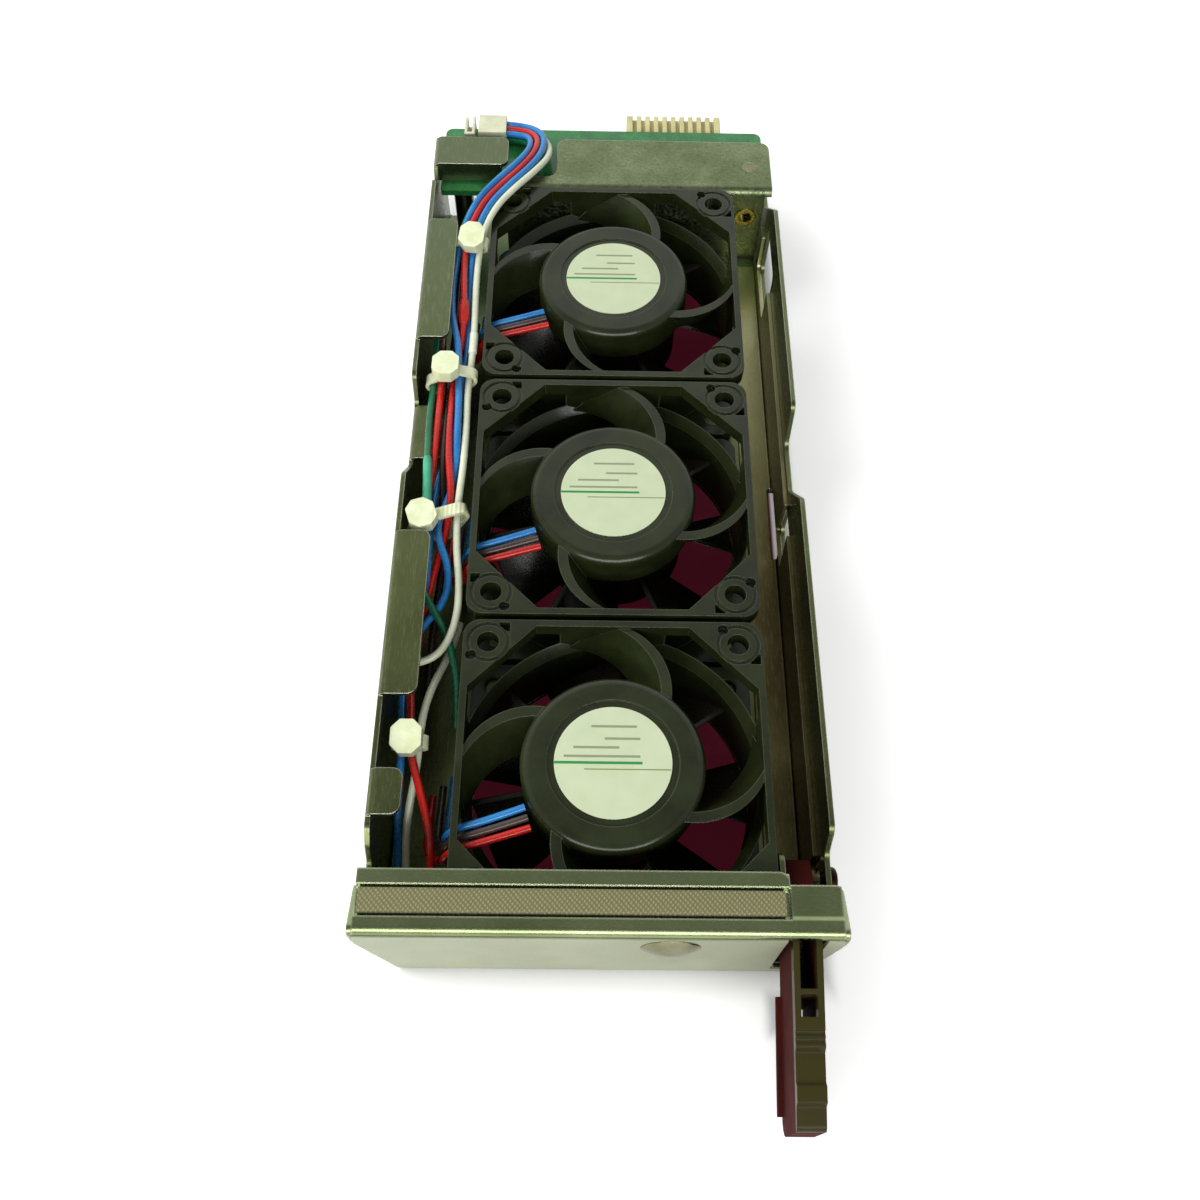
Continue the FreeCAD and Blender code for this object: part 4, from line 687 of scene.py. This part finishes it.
def route_line(points: np.ndarray) -> np.ndarray:
    """Points of the smooth line that a route's NURBS curve follows.

    Args:
        points: N by 3 array of control points in millimetres.

    Returns:
        M by 3 array in metres.
    """
    curve = route_curve("route_line", points, 0.0)
    holder = bpy.data.objects.new("route_line", curve)
    mesh = bpy.data.meshes.new_from_object(holder)
    out = np.empty(len(mesh.vertices) * 3)
    mesh.vertices.foreach_get("co", out)
    bpy.data.objects.remove(holder)
    bpy.data.meshes.remove(mesh)
    bpy.data.curves.remove(curve)
    return out.reshape(-1, 3)


def sleeve(name: str, line: np.ndarray, radii_mm: np.ndarray, material: Any) -> Any:
    """Closed tube along a line: at each point a ring of that radius in the plane across the line.

    Args:
        name: Piece name.
        line: M by 3 array in metres.
        radii_mm: Radius at each point.
        material: Its finish.

    Returns:
        The new object.
    """
    sides = 20
    along = np.gradient(line, axis=0)
    along /= np.linalg.norm(along, axis=1)[:, None]
    across = np.cross(along, np.array([0.0, 0.0, 1.0]))
    across /= np.linalg.norm(across, axis=1)[:, None]
    upward = np.cross(across, along)
    turn = np.linspace(0.0, 2.0 * np.pi, sides, endpoint=False)
    ring = across[:, None, :] * np.cos(turn)[None, :, None] + upward[:, None, :] * np.sin(turn)[None, :, None]
    points = (line[:, None, :] + ring * (radii_mm * MM)[:, None, None]).reshape(-1, 3)
    i, j = np.meshgrid(np.arange(len(line) - 1), np.arange(sides), indexing="ij")
    k = (j + 1) % sides
    quads = np.stack([i * sides + j, (i + 1) * sides + j, (i + 1) * sides + k, i * sides + k], axis=-1)
    quads = quads.reshape(-1, 4)
    last = (len(line) - 1) * sides
    caps = [list(range(sides)), list(range(last + sides - 1, last - 1, -1))]
    return mesh_piece(name, points, quads.tolist() + caps, material, Body.MODULE)


# ---- sub-assemblies
@dataclass
class DressedGroup:
    """CAD nodes that only get a finish.

    Attributes:
        finishes: Key of the finish of each node.
    """

    finishes: dict[str, str]

    def build(self) -> None:
        """Dress each node of the group."""
        for node, finish in self.finishes.items():
            dress(node, material_of(finish))
        LOG.info("%s dressed: %d nodes", type(self).__name__, len(self.finishes))


@dataclass
class SheetMetal(DressedGroup):
    """Tray, rail, rear bracket and their fasteners."""

    finishes: dict[str, str] = field(default_factory=lambda: {
        "tray": "tray", "side_rail": "rail", "rear_bracket": "flange", "ring_nut": "brass",
        "clinch_stud": "bright", "board_post": "bright", "board_screws": "dark_screw",
        "lever_bracket": "tray", "front_panel": "panel", "front_overlay": "overlay", "emi_gasket": "gasket",
        "panel_stud": "bright", "panel_screws": "dark_screw", "pivot_pin": "dark_screw",
        "lever_spring": "spring"})


@dataclass
class RearElectrics(DressedGroup):
    """Backplane board, plug and headers."""

    finishes: dict[str, str] = field(default_factory=lambda: {
        "backplane_board": "board", "backplane_connector": "ivory", "connector_contacts": "gold",
        "wire_header": "white", "side_header": "white"})


@dataclass
class Lever(DressedGroup):
    """Latch lever with its tongue and rivets."""

    finishes: dict[str, str] = field(default_factory=lambda: {
        "latch_lever": "lever", "lever_tongue": "tongue", "lever_rivets": "bright"})


@dataclass
class Fan:
    """One axial fan.

    Attributes:
        number: 1 at the rear to 3 at the front.
        lead_z: Height at which the leads leave the motor base, in millimetres.
        lead_r: Radius of a lead in millimetres.
    """

    number: int
    lead_z: float = 22.4
    lead_r: float = 0.75

    def node(self, part: str) -> str:
        """Name of one of this fan's CAD nodes."""
        return f"fan_{self.number}_{part}"

    def centre(self) -> Vec3:
        """Middle of the label disc in metres."""
        low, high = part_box(self.node("label"))
        return tuple((a + b) / 2 for a, b in zip(low, high))

    def build(self) -> None:
        """Dress the fan and lay its three leads."""
        for part, finish in (("frame", "fan"), ("rotor", "impeller"), ("shaft", "steel"),
                             ("bearings", "steel"), ("magnet", "ferrite"), ("stator", "copper"),
                             ("motor_board", "board")):
            dress(self.node(part), material_of(finish))
        dress(self.node("label"), PrintedDisc(f"printed_film_disc_{self.number}", self.centre()).build())
        self.leads()

    def leads(self) -> None:
        """Lay the three leads from the motor base through the notch and down into the channel."""
        cx, cy, _ = (c / MM for c in self.centre())
        z = self.lead_z
        for k, colour in enumerate(("blue", "grey", "red")):
            step = 2.0 * k
            lane_x = -32.3 - step
            points = np.array([
                (-16.6 + 0.6 * k, -8.0 - step, z), (-23.2, -10.6 - step, z + 0.2),
                (-29.4, -12.2 - step, z - 0.3), (-31.7, -12.9 - step, z - 3.4),
                (-31.9, -12.6 - step, z - 8.0), (lane_x + 0.1, -9.8 - step, z - 12.2),
                (lane_x, -4.2 - step, z - 14.4), (lane_x + 0.3, 3.0 - step, z - 14.9)])
            points[:, :2] += (cx, cy)
            wire_piece(self.node(f"lead_{colour}"), points, self.lead_r, material_of(colour))
        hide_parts(self.node("leads"))


@dataclass(frozen=True)
class Wire:
    """One wire of the harness.

    Attributes:
        name: Its own name.
        node: CAD node that it stands for.
        finish: Key of its finish.
        places: How far beside and above the ribbon's centre line it runs, point by point, in millimetres.
        tail: Control points of its own way along the channel, in millimetres.
    """

    name: str
    node: str
    finish: str
    places: tuple[tuple[float, float], ...]
    tail: tuple[Vec3, ...]


WIRES: tuple[Wire, ...] = (
    Wire("blue_1", "wires_blue", "blue", (
        (-1.75, 1.75), (-1.75, 1.75), (-1.75, 1.75), (-2.3, 1.75), (-2.6, 1.75), (-2.6, 1.75),
        (-2.6, 1.75), (-2.6, 1.0), (-2.6, 0.6),), (
        (-35.9, 60.0, 24.7), (-35.6, 52.5, 24.9), (-34.8, 46.5, 25.4), (-33.3, 40.5, 25.5),
        (-32.8, 33.0, 25.3), (-32.2, 24.5, 25.4), (-31.95, 16.5, 25.3), (-31.9, 10.0, 23.7),
        (-32.4, 3.5, 21.7), (-34.0, -2.0, 21.4), (-35.0, -7.2, 22.9), (-34.2, -11.9, 23.4),
        (-32.3, -16.2, 22.0), (-31.9, -21.0, 20.2), (-33.6, -25.4, 19.0), (-36.6, -28.8, 18.4),
        (-39.0, -33.6, 18.2), (-39.9, -40.0, 18.4), (-39.5, -47.0, 19.2), (-38.9, -53.6, 20.2),
        (-38.7, -60.0, 19.4), (-39.0, -66.0, 16.6), (-39.2, -71.5, 12.6), (-39.1, -76.0, 10.0),
        (-38.9, -80.5, 8.4))),
    Wire("blue_2", "wires_blue", "blue", (
        (1.75, 1.75), (1.75, 1.75), (1.75, 1.75), (1.1, 1.75), (0.9, 1.75), (0.9, 1.75),
        (0.9, 1.75), (0.9, 1.6), (0.9, 1.2),), (
        (-31.9, 60.0, 23.7), (-31.7, 51.0, 22.9), (-31.4, 42.0, 22.3), (-31.9, 33.0, 22.6),
        (-32.4, 24.0, 22.2), (-33.0, 15.0, 21.6), (-36.0, 6.5, 20.0), (-36.6, -1.0, 20.9),
        (-36.6, -7.6, 21.5), (-36.4, -13.6, 22.5), (-36.6, -20.0, 20.5), (-38.2, -26.4, 18.6),
        (-40.2, -33.0, 17.0), (-41.0, -40.0, 14.8), (-40.9, -47.0, 11.5))),
    Wire("green_1", "wire_green", "green", (
        (-1.75, 0.0), (-1.75, 0.0), (-1.75, 0.0), (-2.6, 0.0), (-3.4, 0.0), (-3.6, 0.0),
        (-3.6, -0.2), (-3.5, -0.7), (-3.4, -1.2),), (
        (-37.6, 60.0, 22.8), (-38.4, 50.5, 22.4), (-38.8, 41.0, 22.2), (-38.6, 31.5, 22.4),
        (-38.8, 21.5, 23.0), (-38.4, 11.5, 23.8), (-37.7, 2.0, 24.0), (-37.3, -7.0, 23.6),
        (-38.4, -14.5, 23.6), (-38.0, -20.6, 22.2), (-35.4, -25.8, 21.2), (-32.4, -29.8, 18.8),
        (-30.4, -35.2, 16.0), (-29.5, -41.6, 12.6), (-29.7, -48.0, 9.0))),
    Wire("red_1", "wire_red", "red", (
        (0.0, 1.75), (0.0, 1.75), (0.0, 1.75), (-0.6, 1.75), (-0.9, 1.5), (-0.9, 1.5), (-0.9, 1.6),
        (-0.9, 1.7), (-0.9, 1.7),), (
        (-33.2, 60.0, 25.7), (-32.6, 51.5, 25.3), (-32.8, 44.0, 23.6), (-33.6, 36.5, 22.8),
        (-34.0, 29.5, 23.3), (-33.9, 22.0, 24.1), (-33.8, 15.0, 24.4), (-33.5, 8.0, 24.2),
        (-32.5, 1.5, 23.7), (-32.7, -5.0, 22.1), (-34.1, -12.0, 20.5), (-35.9, -19.5, 19.0),
        (-37.2, -27.5, 16.4), (-38.2, -35.5, 16.2), (-38.2, -43.0, 18.9), (-37.3, -50.0, 21.0),
        (-37.0, -57.4, 21.4), (-34.6, -65.0, 20.2), (-32.5, -71.8, 18.8), (-31.7, -78.0, 16.4),
        (-31.8, -83.0, 12.6))),
    Wire("red_2", "wire_red", "red", (), (
        (-39.2, 61.0, 10.4), (-38.9, 54.0, 14.6), (-38.0, 47.0, 18.6), (-37.2, 39.5, 21.6),
        (-36.7, 31.0, 23.0), (-36.7, 22.5, 23.4), (-36.8, 14.0, 23.2), (-37.2, 5.5, 22.3),
        (-38.5, -2.5, 21.6), (-39.3, -9.6, 20.6), (-40.1, -16.4, 19.6), (-40.6, -23.5, 18.0),
        (-40.9, -30.6, 15.0))),
    Wire("black_1", "wire_black", "black", (
        (0.0, 0.0), (0.0, 0.0), (0.0, 0.0), (-0.8, 0.0), (-1.6, -0.1), (-1.8, -0.1), (-1.8, -0.1),
        (-1.6, -0.5), (-1.5, -0.9),), (
        (-34.5, 60.0, 23.2), (-34.4, 51.0, 22.6), (-35.0, 42.0, 21.6), (-35.4, 33.0, 21.2),
        (-35.3, 23.5, 21.9), (-35.1, 14.0, 22.7), (-34.8, 5.0, 22.2), (-34.5, -3.0, 18.9),
        (-34.0, -9.6, 18.0), (-34.2, -16.0, 16.6), (-34.9, -22.8, 15.2), (-35.4, -30.6, 14.0),
        (-35.6, -38.5, 12.6), (-36.0, -46.0, 11.0))),
    Wire("white_1", "wire_white", "white_wire", (
        (1.75, 0.0), (1.75, 0.0), (2.3, -0.1), (3.1, 1.0), (2.8, 1.75), (2.7, 1.75), (2.7, 1.75),
        (2.6, 1.75), (2.6, 1.8),), (
        (-30.3, 59.5, 25.5), (-30.0, 49.0, 25.0), (-29.9, 38.5, 24.8), (-30.5, 28.0, 24.6),
        (-30.2, 18.0, 24.3), (-30.2, 8.0, 24.1), (-30.9, -3.0, 23.7), (-30.6, -13.0, 23.0),
        (-29.4, -21.6, 22.2), (-29.6, -29.4, 21.6), (-31.6, -35.6, 21.2), (-35.2, -38.6, 20.6),
        (-38.6, -38.4, 19.6))),
    Wire("white_2", "wire_white", "white_wire", (), (
        (-30.4, -24.0, 9.0), (-31.0, -30.5, 12.4), (-32.2, -36.6, 15.6), (-33.8, -42.6, 18.4),
        (-35.0, -49.0, 20.2), (-35.3, -55.6, 20.4), (-35.7, -62.0, 18.6), (-37.0, -68.0, 15.6),
        (-37.6, -73.5, 11.6), (-37.4, -78.0, 9.6), (-37.2, -82.5, 8.2))),
)


@dataclass
class Harness:
    """Ribbon of wires from the header over the rear strip, fanning out along the channel.

    Attributes:
        ribbon: Centre line of the ribbon in millimetres.
        radius: Radius of a wire.
        wires: The wires.
    """

    ribbon: np.ndarray = field(default_factory=lambda: np.array([
        (-27.2, 112.8, 24.0), (-21.0, 112.3, 24.1), (-17.0, 108.6, 25.2), (-16.6, 102.2, 26.3),
        (-19.6, 95.6, 26.9), (-24.4, 89.4, 27.0), (-28.8, 82.8, 26.9), (-31.6, 75.6, 25.7),
        (-32.6, 68.6, 24.3)]))
    radius: float = 0.8
    wires: tuple[Wire, ...] = WIRES

    def route(self, wire: Wire) -> np.ndarray:
        """Control points of a wire: beside the ribbon by the mean left normal of two runs, then its own tail.

        Args:
            wire: The wire.

        Returns:
            Control points in millimetres.
        """
        if not wire.places:
            return np.array(wire.tail)
        runs = np.diff(self.ribbon[:, :2], axis=0)
        runs /= np.linalg.norm(runs, axis=1)[:, None]
        before = np.vstack([runs[:1], runs])
        after = np.vstack([runs, runs[-1:]])
        left = np.stack([-(before[:, 1] + after[:, 1]), before[:, 0] + after[:, 0]], axis=1)
        left /= np.linalg.norm(left, axis=1)[:, None]
        cosine = left[:, 0] * -before[:, 1] + left[:, 1] * before[:, 0]
        places = np.array(wire.places)
        out = self.ribbon.copy()
        out[:, :2] += left * (places[:, 0] / cosine)[:, None]
        out[:, 2] += places[:, 1]
        return np.vstack([out, wire.tail])

    def cover(self, name: str, wire: str, back: float, front: float, radius: float, finish: str,
              swell: float = 0.0) -> None:
        """Put a sleeve on a wire between two places along the channel.

        Args:
            name: Piece name.
            wire: Name of the wire.
            back: Rear end's Y in millimetres.
            front: Front end's Y in millimetres.
            radius: Radius at the ends.
            finish: Key of the finish.
            swell: How much thicker the middle is, as a sine over the length.
        """
        held = next(w for w in self.wires if w.name == wire)
        line = route_line(self.route(held))
        line = line[(line[:, 1] < back * MM) & (line[:, 1] > front * MM)]
        steps = np.linspace(0.0, 1.0, 4 * len(line))
        at = np.linspace(0.0, 1.0, len(line))
        line = np.stack([np.interp(steps, at, line[:, axis]) for axis in range(3)], axis=1)
        ends = np.clip(np.minimum(steps, 1.0 - steps) / 0.06, 0.0, 1.0)
        radii = radius * (0.86 + 0.14 * np.sqrt(ends)) + swell * np.sin(np.pi * steps) ** 0.7
        sleeve(name, line, radii, material_of(finish))

    def build(self) -> None:
        """Lay the wires, their sleeves and the ties."""
        stood_for: set[str] = set()
        for wire in self.wires:
            piece = wire_piece(f"wire_{wire.name}", self.route(wire), self.radius, material_of(wire.finish))
            if wire.node not in stood_for:
                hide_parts(wire.node)
                stood_for.add(wire.node)
        self.cover("green_wire_sleeve", "green_1", 10.5, -7.5, 1.0, "teal_sleeve")
        self.cover("red_splice_sleeve", "red_1", 54.5, 47.0, 0.95, "red_sleeve", 0.4)
        self.cover("white_marker_sleeve", "white_1", 44.5, 38.0, 0.98, "white_sleeve")
        dress("cable_ties", material_of("nylon"))


# ---- studio
@dataclass
class Studio:
    """Pale floor, plain soft lamps and the camera.

    Attributes:
        eye: Camera position in metres.
        axes: Camera right, up and backward directions as rows.
        lens: Focal length in millimetres on a 36 mm sensor.
        ambient: Level of the light from all round.
        room: Level of the front part of the room that gloss sees.
        overhead: How much of that level is left straight up.
        lift: How much whiter the floor shows to the camera near the module.
        lift_far: The same at a distance.
        shaded: Parts of the floor under the module and the lever's window that aren't lifted: middle, half
            sides, and how many half sides away the floor is clear again.
        mat: The dark red mat under the module, painted darker as the shade beneath the module, which only
            shows through its openings, given the same way.
        shaded_mat_tone: Linear colour of the mat, dark red painted down as shade.
        mat_camera_glow: What the camera sees of the mat on top of that, a glow for camera rays only.
        floor_tone: Linear colour of the floor.
    """

    eye: Vec3 = (-0.00292, -0.13924, 0.23385)
    axes: tuple[Vec3, Vec3, Vec3] = (
        (0.99984894, 0.00596351, 0.01632594),
        (-0.01301766, 0.87932694, 0.47604063),
        (-0.01151697, -0.47618124, 0.87927173))
    lens: float = 34.83
    ambient: float = 0.28
    room: float = 0.42
    overhead: float = 0.55
    lift: float = 0.42
    lift_far: float = 0.9
    shaded: tuple[Zone, ...] = (
        (0.0, 0.0105, 0.046, 0.1085, 1.04), (0.0361, -0.1026, 0.0018, 0.0022, 2.6))
    mat: Zone = (0.0, 0.003, 0.0422, 0.095, 1.0)
    shaded_mat_tone: Rgba = (0.12, 0.016, 0.028, 1.0)
    mat_camera_glow: Rgba = (0.03, 0.0025, 0.006, 1.0)
    floor_tone: Rgba = (0.9, 0.9, 0.9, 1.0)

    def camera(self) -> None:
        """Place the camera."""
        data = bpy.data.cameras.new("camera")
        data.sensor_width = 36.0
        data.lens = self.lens
        data.clip_start = 0.005
        data.clip_end = 20.0
        camera = bpy.data.objects.new("camera", data)
        bpy.context.scene.collection.objects.link(camera)
        turn = Matrix(self.axes).transposed().to_4x4()
        turn.translation = self.eye
        camera.matrix_world = turn
        bpy.context.scene.camera = camera

    def beyond(self, tree: Any, place: Any, zone: Zone) -> Any:
        """How clear a place is of a rectangle: the larger of its two distances over the half sides.

        Args:
            tree: Node tree.
            place: Object coordinates.
            zone: Middle X and Y and half sides in metres, and the fade.

        Returns:
            Output that is 0 inside and 1 outside.
        """
        x, y, half_x, half_y, fade = zone
        scaled = add_node(tree, "Mapping", {
            "Vector": place, "Location": (-x / half_x, -y / half_y, 0.0),
            "Scale": (1.0 / half_x, 1.0 / half_y, 0.0)})
        apart = add_node(tree, "VectorMath", {0: scaled.outputs["Vector"]}, operation="ABSOLUTE")
        axes = add_node(tree, "SeparateXYZ", {"Vector": apart.outputs["Vector"]})
        out = add_node(tree, "Math", {0: axes.outputs["X"], 1: axes.outputs["Y"]}, operation="MAXIMUM")
        return add_node(tree, "MapRange", {
            "Value": out.outputs[0], "From Min": 0.96, "From Max": fade},
            interpolation_type="SMOOTHSTEP").outputs["Result"]

    def floor(self) -> None:
        """Lay a pale floor that keeps the shadow and shows whiter to the camera, and a dark red mat on it,
        painted dark as shade under the module.
        """
        mesh = bpy.data.meshes.new("studio_floor")
        half, low = 3.0, -0.0004
        mesh.from_pydata([(-half, -half, low), (half, -half, low), (half, half, low), (-half, half, low)], [],
                         [(0, 1, 2, 3)])
        floor = bpy.data.objects.new("studio_floor", mesh)
        bpy.context.scene.collection.objects.link(floor)
        material, tree, shader = new_material("pale_floor")
        shader.inputs["Roughness"].default_value = 0.9
        path = add_node(tree, "LightPath")
        place = add_node(tree, "TexCoord").outputs["Object"]
        outside = [self.beyond(tree, place, zone) for zone in self.shaded]
        both = add_node(tree, "Math", {0: outside[0], 1: outside[1]}, operation="MULTIPLY")
        away = add_node(tree, "VectorMath", {0: place}, operation="LENGTH")
        level = add_node(tree, "MapRange", {
            "Value": away.outputs["Value"], "From Min": 0.3, "From Max": 1.6, "To Min": self.lift,
            "To Max": self.lift_far})
        clear = add_node(tree, "Math", {
            0: both.outputs[0], 1: level.outputs["Result"]}, operation="MULTIPLY")
        # the mat: dark red, painted dark as shade under the module, plus a glow that only the camera sees
        bare = self.beyond(tree, place, self.mat)
        for mat, ground, use in ((self.shaded_mat_tone, self.floor_tone, "Base Color"),
                                 (self.mat_camera_glow, PLAIN_WHITE, "Emission Color")):
            tone = add_node(tree, "Mix", {"Factor": bare, FIRST: mat, SECOND: ground}, data_type="RGBA")
            tree.links.new(tone.outputs[MIXED], shader.inputs[use])
        covered = add_node(tree, "Math", {0: 1.0, 1: bare}, operation="SUBTRACT")
        shown = add_node(tree, "Math", {0: clear.outputs[0], 1: covered.outputs[0]}, operation="ADD")
        lift = add_node(tree, "Math", {
            0: path.outputs["Is Camera Ray"], 1: shown.outputs[0]}, operation="MULTIPLY")
        tree.links.new(lift.outputs[0], shader.inputs["Emission Strength"])
        mesh.materials.append(material)

    def world(self) -> None:
        """Light the object softly from all round, show white behind it, and let gloss see a bright rear wall.

        What gloss sees rises with the direction's Y, from dim at the front to full white towards the rear,
        and falls to self.overhead of that straight up, where whoever holds the camera shades the ceiling.
        """
        world = bpy.data.worlds.new("studio_world")
        bpy.context.scene.world = world
        world.use_nodes = True
        tree = world.node_tree
        back = tree.nodes["Background"]
        path = add_node(tree, "LightPath")
        seen = add_node(tree, "Math", {
            0: path.outputs["Is Camera Ray"], 1: path.outputs["Is Transmission Ray"]}, operation="MAXIMUM")
        level = add_node(tree, "MapRange", {
            "Value": seen.outputs[0], "To Min": self.ambient, "To Max": 1.0})
        heading = add_node(tree, "SeparateXYZ", {"Vector": add_node(tree, "TexCoord").outputs["Generated"]})
        room = add_node(tree, "MapRange", {
            "Value": heading.outputs["Y"], "From Min": 0.25, "From Max": 0.72, "To Min": self.room,
            "To Max": 1.0})
        dim = add_node(tree, "MapRange", {
            "Value": heading.outputs["Z"], "From Min": 0.82, "From Max": 0.94, "To Min": 1.0,
            "To Max": self.overhead})
        gloss = add_node(tree, "Math", {
            0: room.outputs["Result"], 1: dim.outputs["Result"]}, operation="MULTIPLY")
        mix = add_node(tree, "Mix", {0: path.outputs["Is Glossy Ray"]}, data_type="FLOAT")
        tree.links.new(level.outputs["Result"], mix.inputs[2])
        tree.links.new(gloss.outputs[0], mix.inputs[3])
        tree.links.new(mix.outputs[0], back.inputs["Strength"])
        back.inputs["Color"].default_value = PLAIN_WHITE

    def lamp(self, name: str, place: Vec3, aim: Vec3, size: tuple[float, float], power: float,
             glossy: bool = True) -> None:
        """Hang one rectangular soft lamp.

        Args:
            name: Lamp name.
            place: Position in metres.
            aim: Point that it faces.
            size: Width and height in metres.
            power: Watts.
            glossy: Whether gloss mirrors it.
        """
        data = bpy.data.lights.new(name, "AREA")
        data.shape = "RECTANGLE"
        data.size, data.size_y = size
        data.energy = power
        lamp = bpy.data.objects.new(name, data)
        lamp.visible_glossy = glossy
        bpy.context.scene.collection.objects.link(lamp)
        back = np.array(place) - np.array(aim)
        back /= np.linalg.norm(back)
        right = np.cross((0.0, 1.0, 0.0) if abs(back[2]) > 0.95 else (0.0, 0.0, 1.0), back)
        right /= np.linalg.norm(right)
        up = np.cross(back, right)
        turn = Matrix(np.stack([right, up, back], axis=1).tolist()).to_4x4()
        turn.translation = place
        lamp.matrix_world = turn

    def build(self) -> None:
        """Set the whole studio."""
        self.camera()
        self.floor()
        self.world()
        self.lamp("key", (-0.62, 0.30, 0.52), (0.0, 0.05, 0.0), (0.8, 0.8), 8.3, False)
        self.lamp("front_strip", (0.0, -0.62, 0.42), (0.0, -0.08, 0.0), (0.9, 0.3), 4.0)
        bpy.context.scene.view_settings.view_transform = "Standard"
        LOG.info("studio set")


def main() -> None:
    Studio().build()
    SheetMetal().build()
    RearElectrics().build()
    Lever().build()
    for number in (1, 2, 3):
        Fan(number).build()
    Harness().build()


if __name__ == "__main__":
    main()
